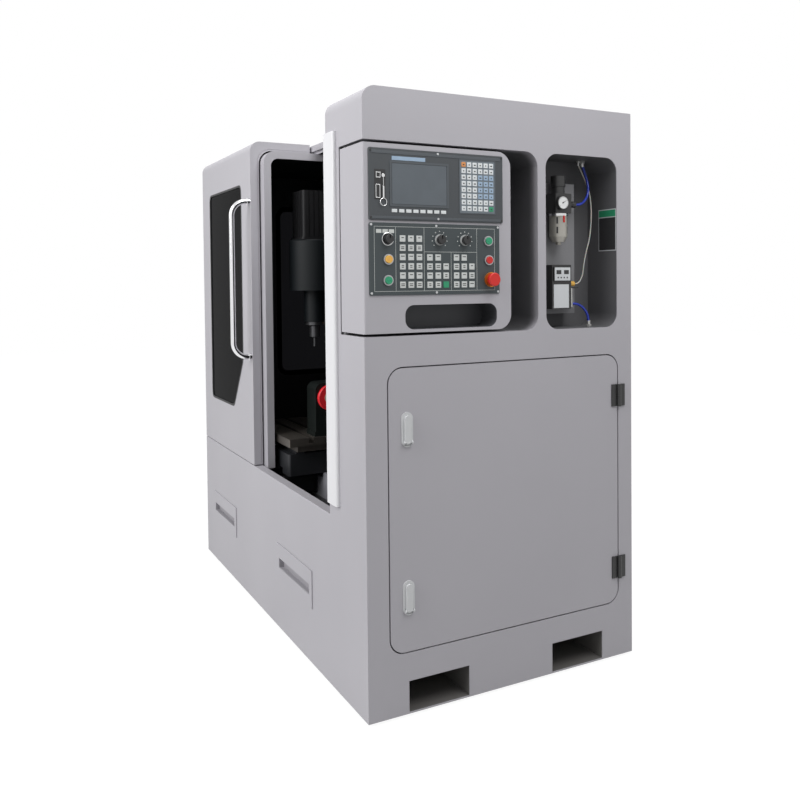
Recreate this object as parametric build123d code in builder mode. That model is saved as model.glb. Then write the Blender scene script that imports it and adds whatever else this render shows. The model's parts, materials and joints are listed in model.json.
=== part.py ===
"""Compact enclosed CNC machining center: sheet metal cabin, swing-out control box and a three-axis mill.

Millimetres, +Z up, +X to the right of the operator, +Y to the rear. The origin is on the floor, in the
middle of the whole outline, door handle and control knobs included.
"""
from build123d import *
from math import cos, radians, sin
import os

os.makedirs("parts", exist_ok=True)

# Enclosure
body_width = 1850.0
body_depth = 960.0
body_height = 1800.0
handle_reach = 80.0
control_reach = 30.0
foot_height = 10.0
sheet = 3.0
liner = 2.0
seat_gap = 0.3
edge_radius = 2.5

x_right = (body_width - control_reach) / 2
x_left = x_right - body_width
y_front = (handle_reach - body_depth) / 2
y_rear = y_front + body_depth
x_middle = (x_left + x_right) / 2
y_middle = (y_front + y_rear) / 2

# Base with two fork tunnels
base_plate = 4.0
fork_width = 201.0
fork_height = 91.0
fork_wall = 5.0
fork_inset = 128.0
fork_pitch = 505.0
rib_thickness = 8.0
rib_pitch = 178.0
rib_count = 10
base_floor = foot_height + base_plate
base_top = base_floor + fork_height + fork_wall

# Levelling feet
foot_radius = 30.0
foot_inset_x = 80.0
foot_inset_y = 62.0
stud_radius = 8.0
stud_length = 50.0
stud_clearance = 0.3
nut_radius = 13.8
nut_height = 10.0

# Sill and cabinet
sill_height = 541.0
sill_depth = 34.0
sill_lip = 15.0
cabinet_width = 280.0
roof_radius = 40.0
roof_skirt = 100.0
x_column = x_right - cabinet_width
roof_spring = body_height - roof_skirt

# Recess of the control box and niche of the air service unit
recess_drop = 150.0
recess_height = 550.0
recess_width = 173.0
recess_length = 587.0
recess_radius = 45.0
niche_offset = 617.0
niche_rear_margin = 59.0
niche_depth = 150.0
recess_top = body_height - recess_drop
recess_bottom = recess_top - recess_height
recess_left = x_right - recess_width
recess_rear = y_front + recess_length
niche_near = y_front + niche_offset
niche_far = y_rear - niche_rear_margin
niche_back = x_right - sheet - niche_depth

# Electrical compartment door
panel_door_near = 71.0
panel_rear_margin = 60.0
panel_door_bottom = 191.0
panel_door_drop = 92.0
panel_door_radius = 45.0
panel_door_gap = 4.0
panel_door_depth = 20.0
panel_rim_depth = 22.0
panel_rim_lip = 15.0
panel_near = y_front + panel_door_near
panel_far = y_rear - panel_rear_margin
panel_top = recess_bottom - panel_door_drop

# Hinges and latches of the compartment door
hinge_leaf = 20.0
hinge_height = 72.0
hinge_thickness = 4.0
knuckle_radius = 7.0
hinge_pin_radius = 3.0
running_clearance = 0.05
hinge_rise = 115.0
hinge_drop = 133.0
latch_rise = 157.0
latch_drop = 176.0
latch_offset = 57.0
latch_length = 100.0
latch_width = 36.0
latch_base = 4.0
lever_length = 82.0
lever_width = 22.0
lever_thickness = 6.0
ear_thickness = 3.0
ear_radius = 5.0
lever_pin_radius = 2.0
heel_recess = 2.3
hinge_levels = (panel_door_bottom + hinge_rise, panel_top - hinge_drop)
latch_levels = (panel_door_bottom + latch_rise, panel_top - latch_drop)
x_hinge = x_right + knuckle_radius + seat_gap
y_hinge = panel_far + panel_door_gap / 2

# Fixed cabin shell and its windows
door_depth = 34.0
door_gap = 6.0
door_width = 770.0
door_bottom_gap = 4.0
door_reach = 242.0
door_inner_radius = 52.0
shell_overlap = 45.0
shell_flange = 28.0
shell_corner = 46.0
shell_inner_corner = 30.0
shell_drop = 5.0
cover_gap = 18.0
pane = 5.0
pane_lap = 15.0
side_window_near = 360.0
side_window_length = 410.0
side_window_rise = 276.0
side_window_drop = 197.0
side_window_radius = 35.0
shell_front = y_front + door_depth + door_gap
shell_top = body_height - door_depth - door_gap
shell_end = x_left + door_width + shell_overlap
door_rear = y_front + door_reach
cover_front = door_rear + cover_gap
side_window_front = y_front + side_window_near
side_window_bottom = sill_height + side_window_rise
side_window_top = body_height - side_window_drop
door_bottom = sill_height + door_bottom_gap

# Upper door rail and the shoes that run on it
rail_depth = 10.0
rail_height = 20.0
rail_drop = 8.0
rail_inset = 10.0
shoe_length = 60.0
shoe_gap = 0.5
shoe_inset = 90.0
glide_width = 20.0

# Window and handle of the sliding door
window_inset_left = 127.0
window_inset_right = 131.0
window_rise = 199.0
window_drop = 155.0
window_slant_rise = 201.0
window_slant_run = 145.0
window_radius = 42.0
handle_tube = 20.0
handle_inset = 17.0
handle_drop = 232.0
handle_length = 601.0
handle_bend = 56.0
collar_radius = 14.0
collar_length = 10.0
window_bottom = sill_height + window_rise
window_top = body_height - window_drop
handle_top = body_height - handle_drop

# White strike profile where the door closes
strike_inset = 5.0
strike_width = 81.0
strike_depth = 12.0
strike_rise = 42.0
strike_radius = 9.0
strike_bottom = sill_height + strike_rise
strike_length = roof_spring - strike_bottom

# Chip drawers, the first one left of the bed
left_drawer_inset = 320.0
right_drawer_inset = 344.0
drawer_front_width = 360.0
drawer_front_height = 125.0
drawer_front_bottom = 192.0
drawer_box_width = 340.0
drawer_box_height = 105.0
drawer_box_depth = 400.0
drawer_lap = 9.5
drawer_lift = 7.5
drawer_mouth_height = 110.0
drawer_slot_length = 312.0
drawer_slot_height = 35.0
drawer_slot_rise = 40.0
drawer_side_gap = 2.0
runner_lip = 25.0
drawer_places = (x_left + left_drawer_inset, x_column - right_drawer_inset)
drawer_mouth_bottom = drawer_front_bottom + drawer_lift
drawer_box_bottom = drawer_mouth_bottom + drawer_side_gap

# Chip pan under the machine
pan_level = 380.0
pan_wall_top = 535.0
pan_rim = 40.0
bed_clearance = 5.0
chute_width = 220.0
chute_length = 150.0
chute_offset = 70.0

# Bed, column and axes of the mill
machine_inset = 765.0
bed_front_margin = 230.0
bed_rear_margin = 45.0
bed_width = 340.0
bed_top_width = 314.0
bed_top = 517.0
way_height = 22.0
way_width = 45.0
way_offset = 120.0
casting_wall = 25.0
bed_port_radius = 30.0
bed_port_depth = 15.0

column_rear_margin = 70.0
column_depth = 350.0
column_width = 260.0
column_drop = 240.0
column_flange = 26.0
column_way_depth = 18.0
column_way_width = 36.0
column_way_offset = 98.0
column_way_length = 740.0
machine_x = x_column - machine_inset
bed_front = y_front + bed_front_margin
bed_rear = y_rear - bed_rear_margin
bed_length = bed_rear - bed_front
column_front = y_rear - column_rear_margin - column_depth
column_top = body_height - column_drop
column_way_bottom = column_top - column_way_length
way_length = column_front - bed_clearance - bed_front

spindle_inset = 240.0
head_drop = 338.0
head_height = 198.0
head_radius = 95.0
carriage_depth = 32.0
carriage_width = 250.0
carriage_overhang = 92.0
carriage_height = 340.0
quill_radius = 41.0
quill_length = 124.0
spindle_radius = 28.0
nose_radius = 35.0
nose_length = 12.0
chuck_radius = 20.0
chuck_length = 50.0
tool_radius = 6.0
tool_length = 36.0
motor_size = 130.0
motor_height = 190.0
spindle_y = y_front + spindle_inset
head_bottom = column_top - head_drop
carriage_bottom = head_bottom - carriage_overhang

table_reach = 150.0
table_length = 500.0
table_inset = 80.0
table_width = 240.0
table_top = 665.0
table_slab = 30.0
table_keel_width = 170.0
table_keel = 22.0
slot_pitch = 66.0
slot_width = 16.0
slot_mouth = 12.0
slot_foot_width = 26.0
slot_foot = 10.0
table_right = machine_x + table_reach
table_front = y_front + table_inset
table_middle_x = table_right - table_length / 2
table_middle_y = table_front + table_width / 2
saddle_length = 220.0
saddle_depth = 220.0
saddle_rail = 12.0
saddle_rail_width = 36.0
saddle_rail_offset = 62.0
saddle_bore_width = 70.0
keel_bottom = table_top - table_slab - table_keel
saddle_top = keel_bottom - seat_gap

servo_size = 80.0
servo_length = 130.0
servo_flange = 10.0
servo_drop = 52.0
x_servo_drop = 65.0

rotary_length = 95.0
rotary_width = 120.0
rotary_near = 105.0
rotary_inset = 10.0
rotary_centre = 147.0
rotary_radius = 56.0
rotary_foot = 18.0
plate_radius = 49.0
plate_thickness = 14.0
hub_radius = 24.0
hub_proud = 4.0
shaft_radius = 18.0
shaft_length = 40.0
rotary_right = table_right - rotary_inset
rotary_y = table_front + rotary_near + rotary_width / 2
rotary_z = table_top + rotary_centre

# Control box that swings out of its recess
control_gap = 8.0
control_length = 486.0
control_wall = 3.0
control_radius = 45.0
pivot_inset = 12.0
pivot_radius = 5.0
pivot_engagement = 15.0
pivot_collar = 10.0
control_near = y_front
control_left = recess_left + control_gap
control_bottom = recess_bottom + control_gap
control_top = recess_top - control_gap
control_far = y_front + control_length
pivot_x = control_left + pivot_inset
pivot_y = y_front + pivot_inset

# Display unit, operator panel and the pocket under them
unit_near = 16.0
unit_thickness = 4.0
unit_radius = 5.0
unit_body_depth = 45.0
unit_margin = 18.0
display_length = 440.0
display_height = 201.0
display_rise = 327.0
operator_length = 427.0
operator_height = 204.0
operator_rise = 116.0
screen_near = 87.0
screen_length = 175.0
screen_rise = 46.0
screen_height = 114.0
screen_proud = 1.0
pocket_near = 127.0
pocket_length = 308.0
pocket_rise = 17.0
pocket_height = 70.0
pocket_radius = 28.0
pocket_depth = 90.0
unit_face = x_right + unit_thickness
display_bottom = recess_bottom + display_rise
operator_bottom = recess_bottom + operator_rise
screen_bottom = display_bottom + screen_rise
pocket_bottom = recess_bottom + pocket_rise

# Keys
key_size = 18.0
key_height = 2.0
key_pitch = 26.2
key_top_row = operator_bottom + 160.0
key_lower_row = operator_bottom + 107.0
key_columns_left = (121.0, 147.5, 174.0)
key_columns_middle = (208.0, 235.0, 262.0)
key_columns_right = (297.0, 323.0, 349.0)
small_key_size = 11.0
small_key_height = 1.5
small_key_columns = 6
small_key_rows = 8
small_key_pitch_y = 19.0
small_key_pitch_z = 18.4
small_key_middle_y = 367.0
small_key_middle_z = display_bottom + 105.0
soft_key_count = 8
soft_key_pitch = 22.5
soft_key_first = 94.0
soft_key_level = display_bottom + 27.0

# Rotary switches and push buttons, by their distance from the front corner and from the panel's foot
selector_place = (72.0, 158.0)
feed_place = (238.0, 158.0)
speed_place = (322.0, 158.0)
yellow_place = (73.0, 101.0)
green_left_place = (72.0, 42.0)
green_right_place = (402.0, 157.0)
red_place = (404.0, 100.0)
estop_place = (411.0, 42.0)
bezel_radius = 14.75
bezel_height = 5.0
cap_radius = 11.0
cap_height = 9.0
cap_stem_radius = 8.0
stem_depth = 12.0
stem_gap = 0.3
knob_radius = 12.0
knob_height = 15.0
knob_skirt_radius = 16.0
knob_skirt = 3.0
estop_radius = 20.0
estop_neck = 11.0
estop_head = 12.0
estop_stroke_room = 7.0
estop_bezel_radius = 22.0

# Air service unit in the niche
mount_box_depth = 58.0
mount_box_length = 182.0
mount_box_drop = 80.0
regulator_offset = 93.0
regulator_drop = 150.0
regulator_block = 66.0
regulator_block_height = 62.0
bonnet_radius = 21.0
bonnet_height = 24.0
air_knob_radius = 24.0
air_knob_height = 34.0
bowl_radius = 29.0
bowl_length = 92.0
gauge_radius = 22.0
gauge_depth = 13.0
gauge_stem_radius = 6.0
gauge_stem = 5.0
gauge_shift = 16.0
port_radius = 9.0
port_length = 20.0
switch_offset = 101.0
switch_width = 76.0
switch_rise = 61.0
switch_height = 143.0
switch_depth = 40.0
switch_bezel = 46.0
switch_bezel_length = 66.0
switch_bezel_depth = 4.0
switch_port_rise = 15.0
sense_port_rise = 81.0
switch_port_radius = 8.0
air_tube_radius = 4.0
sense_tube_radius = 2.0
tube_step = 10.0
bulkhead_length = 12.0
mount_face = niche_back + mount_box_depth
mount_box_top = recess_top - mount_box_drop
regulator_x = mount_face + regulator_block / 2
regulator_y = niche_near + regulator_offset
regulator_z = recess_top - regulator_drop
switch_y = niche_near + switch_offset
switch_bottom = recess_bottom + switch_rise
switch_port_z = switch_bottom + switch_port_rise
sense_z = switch_bottom + sense_port_rise

# Electrical compartment
backplate_standoff = 12.0
backplate_margin = 55.0
backplate_rise = 34.0
duct_width = 40.0
duct_depth = 50.0
drive_count = 3
drive_width = 62.0
drive_height = 180.0
drive_depth = 150.0
drive_pitch = 84.0
drive_inset = 70.0
drive_drop = 245.0
inverter_width = 150.0
inverter_height = 240.0
inverter_depth = 165.0
terminal_count = 14
terminal_pitch = 22.0
terminal_width = 18.0
plate_near = panel_near + backplate_margin
backplate_length = panel_far - backplate_margin - plate_near
backplate_bottom = panel_door_bottom + backplate_rise
backplate_height = panel_top - backplate_rise - backplate_bottom
drive_bottom = panel_top - backplate_rise - drive_drop

# Louvres in the rear panel
louvre_length = 190.0
louvre_height = 9.0
louvre_pitch = 26.0
louvre_rows = 10
louvre_bottom = 640.0


def front_plane(y):
    """Upright plane at depth y. A positive extrusion comes forward, a negative one goes to the rear."""
    return Plane.XZ.offset(-y)


def side_plane(x):
    """Upright plane across the machine at x. A positive extrusion goes to the right."""
    return Plane.YZ.offset(x)


def level(z):
    """Level plane at height z. A positive extrusion goes up."""
    return Plane.XY.offset(z)


def rect_between(near, bottom, far, top, mode=Mode.ADD):
    """Rectangle between two corners of the sketch plane."""
    with Locations(((near + far) / 2, (bottom + top) / 2)):
        Rectangle(far - near, top - bottom, mode=mode)


def round_rect_between(near, bottom, far, top, radius, mode=Mode.ADD):
    """Rectangle between two corners of the sketch plane, with rounded corners."""
    with Locations(((near + far) / 2, (bottom + top) / 2)):
        RectangleRounded(far - near, top - bottom, radius, mode=mode)


def wrap_section(front, bottom, top, rear, wall, outer_radius, inner_radius):
    """Section of a folded cover: up the front, round the corner and back along the roof."""
    with BuildLine() as outline:
        Polyline(
            (front, bottom),
            (front, top),
            (rear, top),
            (rear, top - wall),
            (front + wall, top - wall),
            (front + wall, bottom),
            close=True,
        )
    make_face(outline.edges())
    fillet(vertices().sort_by_distance((front, top, 0))[0], outer_radius)
    fillet(vertices().sort_by_distance((front + wall, top - wall, 0))[0], inner_radius)


def rear_rounded(near, bottom, far, top, radius):
    """Rectangle whose two far corners are rounded."""
    rect_between(near, bottom, far, top)
    fillet(vertices().group_by(Axis.X)[-1], radius)


def near_point(place):
    """Point of the operator panel, from its distance to the front corner and to the panel's foot."""
    return (y_front + place[0], operator_bottom + place[1])


def finish(part, name, colour):
    """Name a piece, colour it for a plain view and write it."""
    part.label = name
    part.color = Color(*colour)
    export_step(part, f"parts/{name}.step")


grey_paint = (0.66, 0.66, 0.68)
dark_casting = (0.24, 0.25, 0.27)
black_plastic = (0.06, 0.06, 0.07)
steel = (0.72, 0.73, 0.75)

# Base: floor plate, ribs, front and rear beams and the two fork tunnels, welded together
with BuildPart() as base_frame:
    with BuildSketch(level(foot_height)):
        rect_between(x_left + sheet, y_front + sheet, x_right - sheet, y_rear - sheet)
        with Locations((x_middle, y_middle)):
            with GridLocations(
                body_width / 2 - foot_inset_x, body_depth - 2 * foot_inset_y, 3, 2
            ):
                Circle(stud_radius + stud_clearance, mode=Mode.SUBTRACT)
    extrude(amount=base_plate)
    with BuildSketch(level(base_floor)):
        with Locations((x_middle, y_middle)):
            with GridLocations(rib_pitch, 1, rib_count, 1):
                Rectangle(rib_thickness, body_depth - 2 * sheet)
            with GridLocations(1, body_depth - 2 * sheet - rib_thickness, 1, 2):
                Rectangle(body_width - 2 * sheet, rib_thickness)
    extrude(amount=base_top - base_floor)
    for tunnel in range(2):
        tunnel_near = y_front + fork_inset + tunnel * fork_pitch
        tunnel_far = tunnel_near + fork_width
        with BuildSketch(side_plane(x_left + sheet)):
            rect_between(tunnel_near - fork_wall, base_floor, tunnel_far + fork_wall, base_top)
        extrude(amount=body_width - 2 * sheet)
    for tunnel in range(2):
        tunnel_near = y_front + fork_inset + tunnel * fork_pitch
        tunnel_far = tunnel_near + fork_width
        with BuildSketch(side_plane(x_left + sheet)):
            rect_between(tunnel_near, base_floor, tunnel_far, base_top - fork_wall)
        extrude(amount=body_width - 2 * sheet, mode=Mode.SUBTRACT)
finish(base_frame.part, "base_frame", grey_paint)

# Six levelling feet: pad, stud through the floor plate and lock nut
with BuildPart() as levelling_feet:
    foot_places = Locations((x_middle, y_middle))
    with foot_places:
        with GridLocations(
            body_width / 2 - foot_inset_x, body_depth - 2 * foot_inset_y, 3, 2
        ):
            Cylinder(foot_radius, foot_height, align=(Align.CENTER, Align.CENTER, Align.MIN))
            Cylinder(
                stud_radius, foot_height + stud_length,
                align=(Align.CENTER, Align.CENTER, Align.MIN),
            )
    with BuildSketch(level(base_floor)):
        with Locations((x_middle, y_middle)):
            with GridLocations(
                body_width / 2 - foot_inset_x, body_depth - 2 * foot_inset_y, 3, 2
            ):
                RegularPolygon(nut_radius, 6)
    extrude(amount=nut_height)
finish(levelling_feet.part, "levelling_feet", steel)

# Front panel: full width below the sill, and the front of the right cabinet above it
with BuildPart() as front_panel:
    with BuildSketch(front_plane(y_front)):
        rect_between(x_left, foot_height, x_right, sill_height)
        rect_between(x_column, foot_height, x_right, roof_spring)
        rect_between(recess_left, recess_bottom, x_right, recess_top, Mode.SUBTRACT)
        for place in drawer_places:
            half_mouth = drawer_front_width / 2 - drawer_lap
            rect_between(
                place - half_mouth, drawer_mouth_bottom,
                place + half_mouth, drawer_mouth_bottom + drawer_mouth_height,
                Mode.SUBTRACT,
            )
    extrude(amount=-sheet)
    with BuildSketch(level(sill_height - sheet)):
        rect_between(x_left + sheet, y_front, x_column, y_front + sill_depth)
    extrude(amount=sheet)
    with BuildSketch(level(sill_height - sill_lip)):
        rect_between(
            x_left + sheet, y_front + sill_depth - sheet, x_column, y_front + sill_depth
        )
    extrude(amount=sill_lip)
    sill_edge = front_panel.edges().filter_by(Axis.X).sort_by_distance(
        (x_middle, y_front, sill_height)
    )[0]
    fillet(sill_edge, edge_radius)
finish(front_panel.part, "front_panel", grey_paint)

# Right side panel with the control recess, the niche, the compartment opening and the fork mouths
with BuildPart() as side_panel:
    with BuildSketch(side_plane(x_right - sheet)):
        rect_between(y_front, roof_spring - roof_radius, y_rear, body_height)
        fillet(vertices().sort_by_distance((y_front, body_height, 0))[0], roof_radius)
        rect_between(
            y_front, roof_spring - roof_radius, y_front + sheet, roof_spring, Mode.SUBTRACT
        )
        rect_between(y_front + sheet, foot_height, y_rear, roof_spring)
    extrude(amount=sheet)
    with BuildSketch(side_plane(x_right - sheet)):
        rear_rounded(
            y_front - recess_radius, recess_bottom, recess_rear, recess_top, recess_radius
        )
    extrude(amount=sheet, mode=Mode.SUBTRACT)
    with BuildSketch(side_plane(x_right - sheet)):
        round_rect_between(niche_near, recess_bottom, niche_far, recess_top, recess_radius)
        round_rect_between(
            panel_near - panel_door_gap, panel_door_bottom - panel_door_gap,
            panel_far + panel_door_gap, panel_top + panel_door_gap,
            panel_door_radius + panel_door_gap,
        )
        for tunnel in range(2):
            tunnel_near = y_front + fork_inset + tunnel * fork_pitch
            rect_between(
                tunnel_near, base_floor, tunnel_near + fork_width, base_floor + fork_height
            )
    extrude(amount=sheet, mode=Mode.SUBTRACT)
    with BuildSketch(side_plane(x_right - sheet)):
        round_rect_between(
            panel_near - panel_door_gap - sheet, panel_door_bottom - panel_door_gap - sheet,
            panel_far + panel_door_gap + sheet, panel_top + panel_door_gap + sheet,
            panel_door_radius + panel_door_gap + sheet,
        )
        round_rect_between(
            panel_near - panel_door_gap, panel_door_bottom - panel_door_gap,
            panel_far + panel_door_gap, panel_top + panel_door_gap,
            panel_door_radius + panel_door_gap, Mode.SUBTRACT,
        )
    extrude(amount=-panel_rim_depth)
    with BuildSketch(side_plane(x_right - sheet - panel_rim_depth)):
        round_rect_between(
            panel_near - panel_door_gap - sheet, panel_door_bottom - panel_door_gap - sheet,
            panel_far + panel_door_gap + sheet, panel_top + panel_door_gap + sheet,
            panel_door_radius + panel_door_gap + sheet,
        )
        round_rect_between(
            panel_near + panel_rim_lip, panel_door_bottom + panel_rim_lip,
            panel_far - panel_rim_lip, panel_top - panel_rim_lip,
            panel_door_radius - panel_rim_lip, Mode.SUBTRACT,
        )
    extrude(amount=-sheet)
finish(side_panel.part, "side_panel", grey_paint)

# Cabinet roof, rolled over the front edge
with BuildPart() as cabinet_roof:
    with BuildSketch(side_plane(x_column)):
        wrap_section(
            y_front, roof_spring, body_height, y_rear, sheet, roof_radius, roof_radius - sheet
        )
    extrude(amount=cabinet_width - sheet)
finish(cabinet_roof.part, "cabinet_roof", grey_paint)

# Wall between the work space and the cabinet
with BuildPart() as partition_wall:
    with BuildSketch(side_plane(x_column)):
        rect_between(y_front + sheet, base_top, y_rear - sheet, body_height - sheet)
        fillet(
            vertices().sort_by_distance((y_front + sheet, body_height - sheet, 0))[0],
            roof_radius - sheet,
        )
    extrude(amount=sheet)
finish(partition_wall.part, "partition_wall", grey_paint)

# Rear panel with louvres behind the electrical compartment
with BuildPart() as rear_panel:
    with BuildSketch(front_plane(y_rear - sheet)):
        rect_between(x_left + sheet, foot_height, x_right - sheet, body_height - sheet)
        louvre_middle = louvre_bottom + louvre_pitch * (louvre_rows - 1) / 2
        with Locations((x_column + cabinet_width / 2, louvre_middle)):
            with GridLocations(1, louvre_pitch, 1, louvre_rows):
                Rectangle(louvre_length, louvre_height, mode=Mode.SUBTRACT)
    extrude(amount=-sheet)
finish(rear_panel.part, "rear_panel", grey_paint)

# Left end wall, stepped to follow the fixed shell and the rear roof cover
with BuildPart() as left_wall:
    with BuildSketch(side_plane(x_left)):
        with BuildLine():
            Polyline(
                (y_front + sheet, foot_height),
                (y_front + sheet, sill_height),
                (shell_front, sill_height),
                (shell_front, shell_top),
                (cover_front + sheet, shell_top),
                (cover_front + sheet, body_height - sheet),
                (y_rear, body_height - sheet),
                (y_rear, foot_height),
                close=True,
            )
        make_face()
        fillet(vertices().sort_by_distance((shell_front, shell_top, 0))[0], shell_corner)
        round_rect_between(
            side_window_front, side_window_bottom, side_window_front + side_window_length,
            side_window_top, side_window_radius, Mode.SUBTRACT,
        )
        for tunnel in range(2):
            tunnel_near = y_front + fork_inset + tunnel * fork_pitch
            rect_between(
                tunnel_near, base_floor, tunnel_near + fork_width, base_floor + fork_height,
                Mode.SUBTRACT,
            )
    extrude(amount=sheet)
finish(left_wall.part, "left_wall", grey_paint)

# Smoked pane of the end wall
with BuildPart() as left_window:
    with BuildSketch(side_plane(x_left + sheet)):
        round_rect_between(
            side_window_front - pane_lap, side_window_bottom - pane_lap,
            side_window_front + side_window_length + pane_lap,
            side_window_top + pane_lap,
            side_window_radius + pane_lap,
        )
    extrude(amount=pane)
finish(left_window.part, "left_window", (0.12, 0.13, 0.14))

# Fixed cabin shell behind the open door, with a deep return at its right end
with BuildPart() as cabin_shell:
    with BuildSketch(side_plane(x_left + sheet)):
        wrap_section(
            shell_front, sill_height - shell_drop, shell_top, y_rear - sheet, sheet,
            shell_corner, shell_corner - sheet,
        )
    extrude(amount=shell_end - x_left - sheet)
    with BuildSketch(side_plane(shell_end - sheet)):
        wrap_section(
            shell_front, sill_height - shell_drop, shell_top, y_rear - sheet, shell_flange,
            shell_corner, shell_inner_corner,
        )
    extrude(amount=sheet)
finish(cabin_shell.part, "cabin_shell", grey_paint)

# Rear roof cover with the upper door rail on its front flange
with BuildPart() as rear_roof_cover:
    with BuildSketch(level(body_height - sheet)):
        rect_between(x_left, cover_front, x_column, y_rear)
    extrude(amount=sheet)
    with BuildSketch(front_plane(cover_front)):
        rect_between(x_left, shell_top, x_column, body_height)
    extrude(amount=-sheet)
    with BuildSketch(front_plane(cover_front)):
        rect_between(
            x_left + rail_inset, body_height - rail_drop - rail_height,
            x_column - rail_inset, body_height - rail_drop,
        )
    extrude(amount=rail_depth)
finish(rear_roof_cover.part, "rear_roof_cover", grey_paint)

# White profile on the cabinet that the door closes against
with BuildPart() as strike_profile:
    with BuildSketch(level(strike_bottom)):
        rect_between(
            x_column + strike_inset, y_front - strike_depth,
            x_column + strike_inset + strike_width, y_front,
        )
        fillet(vertices().group_by(Axis.Y)[0], strike_radius)
    extrude(amount=strike_length)
finish(strike_profile.part, "strike_profile", (0.93, 0.93, 0.94))

# Liner of the control recess, open to the front and to the right, with the two pivot pins
with BuildPart() as control_recess:
    with BuildSketch(side_plane(recess_left - liner)):
        rear_rounded(
            y_front + sheet, recess_bottom - liner, recess_rear + liner, recess_top + liner,
            recess_radius + liner,
        )
    extrude(amount=recess_width + liner - sheet)
    with BuildSketch(side_plane(recess_left)):
        rear_rounded(
            y_front + sheet - recess_radius, recess_bottom, recess_rear, recess_top,
            recess_radius,
        )
    extrude(amount=recess_width, mode=Mode.SUBTRACT)
    with Locations((pivot_x, pivot_y, recess_bottom)):
        Cylinder(
            pivot_radius, control_gap + pivot_engagement,
            align=(Align.CENTER, Align.CENTER, Align.MIN),
        )
        Cylinder(
            pivot_collar, control_gap - seat_gap,
            align=(Align.CENTER, Align.CENTER, Align.MIN),
        )
    with Locations((pivot_x, pivot_y, recess_top)):
        Cylinder(
            pivot_radius, control_gap + pivot_engagement,
            align=(Align.CENTER, Align.CENTER, Align.MAX),
        )
finish(control_recess.part, "control_recess", dark_casting)

# Niche of the air service unit
with BuildPart() as niche_box:
    with BuildSketch(side_plane(niche_back - liner)):
        round_rect_between(
            niche_near - liner, recess_bottom - liner, niche_far + liner, recess_top + liner,
            recess_radius + liner,
        )
    extrude(amount=niche_depth + liner)
    with BuildSketch(side_plane(niche_back)):
        round_rect_between(niche_near, recess_bottom, niche_far, recess_top, recess_radius)
    extrude(amount=niche_depth, mode=Mode.SUBTRACT)
finish(niche_box.part, "niche_box", dark_casting)

# Chip pan with chutes over the drawers, and the drawer runners that hang under it
with BuildPart() as splash_pan:
    with BuildSketch(level(pan_level)):
        rect_between(x_left + sheet, y_front + sill_depth, x_column, y_rear - sheet)
    extrude(amount=pan_wall_top - pan_level)
    with BuildSketch(level(pan_level + sheet)):
        rect_between(
            x_left + 2 * sheet, y_front + sill_depth + sheet, x_column - sheet,
            y_rear - 2 * sheet,
        )
    extrude(amount=pan_wall_top - pan_level, mode=Mode.SUBTRACT)
    with BuildSketch(level(pan_level)):
        rect_between(
            machine_x - bed_width / 2 - bed_clearance - sheet, bed_front - bed_clearance - sheet,
            machine_x + bed_width / 2 + bed_clearance + sheet, bed_rear + bed_clearance + sheet,
        )
    extrude(amount=pan_rim)
    with BuildSketch(level(pan_level)):
        rect_between(
            machine_x - bed_width / 2 - bed_clearance, bed_front - bed_clearance,
            machine_x + bed_width / 2 + bed_clearance, bed_rear + bed_clearance,
        )
        for place in drawer_places:
            rect_between(
                place - chute_width / 2, y_front + chute_offset,
                place + chute_width / 2, y_front + chute_offset + chute_length,
            )
    extrude(amount=pan_rim, mode=Mode.SUBTRACT)
    runner_inner = drawer_box_width / 2 + drawer_side_gap
    runner_top = drawer_box_bottom - seat_gap
    for place in drawer_places:
        for side in (-1, 1):
            with BuildSketch(front_plane(y_front + sheet)):
                rect_between(
                    place + side * (runner_inner + sheet / 2) - sheet / 2, runner_top - sheet,
                    place + side * (runner_inner + sheet / 2) + sheet / 2, pan_level,
                )
                rect_between(
                    place + side * (runner_inner - runner_lip / 2) - runner_lip / 2,
                    runner_top - sheet,
                    place + side * (runner_inner - runner_lip / 2) + runner_lip / 2,
                    runner_top,
                )
            extrude(amount=-drawer_box_depth)
finish(splash_pan.part, "splash_pan", (0.5, 0.5, 0.52))

# Bed casting: tapered, hollow, with two flat ways and the seat of the column
with BuildPart() as machine_bed:
    bed_middle = (machine_x, bed_front + bed_length / 2)
    with BuildSketch(level(base_top)):
        with Locations(bed_middle):
            Rectangle(bed_width, bed_length)
    with BuildSketch(level(bed_top - way_height)):
        with Locations(bed_middle):
            Rectangle(bed_top_width, bed_length)
    loft()
    with BuildSketch(level(base_top)) as bed_core_base:
        with Locations(bed_middle):
            Rectangle(bed_width - 2 * casting_wall, bed_length - 2 * casting_wall)
    with BuildSketch(level(bed_top - way_height - casting_wall)) as bed_core_top:
        with Locations(bed_middle):
            Rectangle(bed_top_width - 2 * casting_wall, bed_length - 2 * casting_wall)
    loft([bed_core_base.sketch, bed_core_top.sketch], mode=Mode.SUBTRACT)
    with BuildSketch(level(bed_top - way_height)):
        with Locations((machine_x, bed_front + way_length / 2)):
            with GridLocations(2 * way_offset, 1, 2, 1):
                Rectangle(way_width, way_length)
        rect_between(
            machine_x - bed_top_width / 2, column_front - bed_clearance,
            machine_x + bed_top_width / 2, bed_rear,
        )
    extrude(amount=way_height)
    with BuildSketch(front_plane(bed_front)):
        with Locations((machine_x - bed_top_width / 4, (base_top + bed_top) / 2 + pan_rim)):
            Circle(bed_port_radius)
    extrude(amount=-bed_port_depth, mode=Mode.SUBTRACT)
finish(machine_bed.part, "machine_bed", (0.55, 0.56, 0.58))

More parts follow.
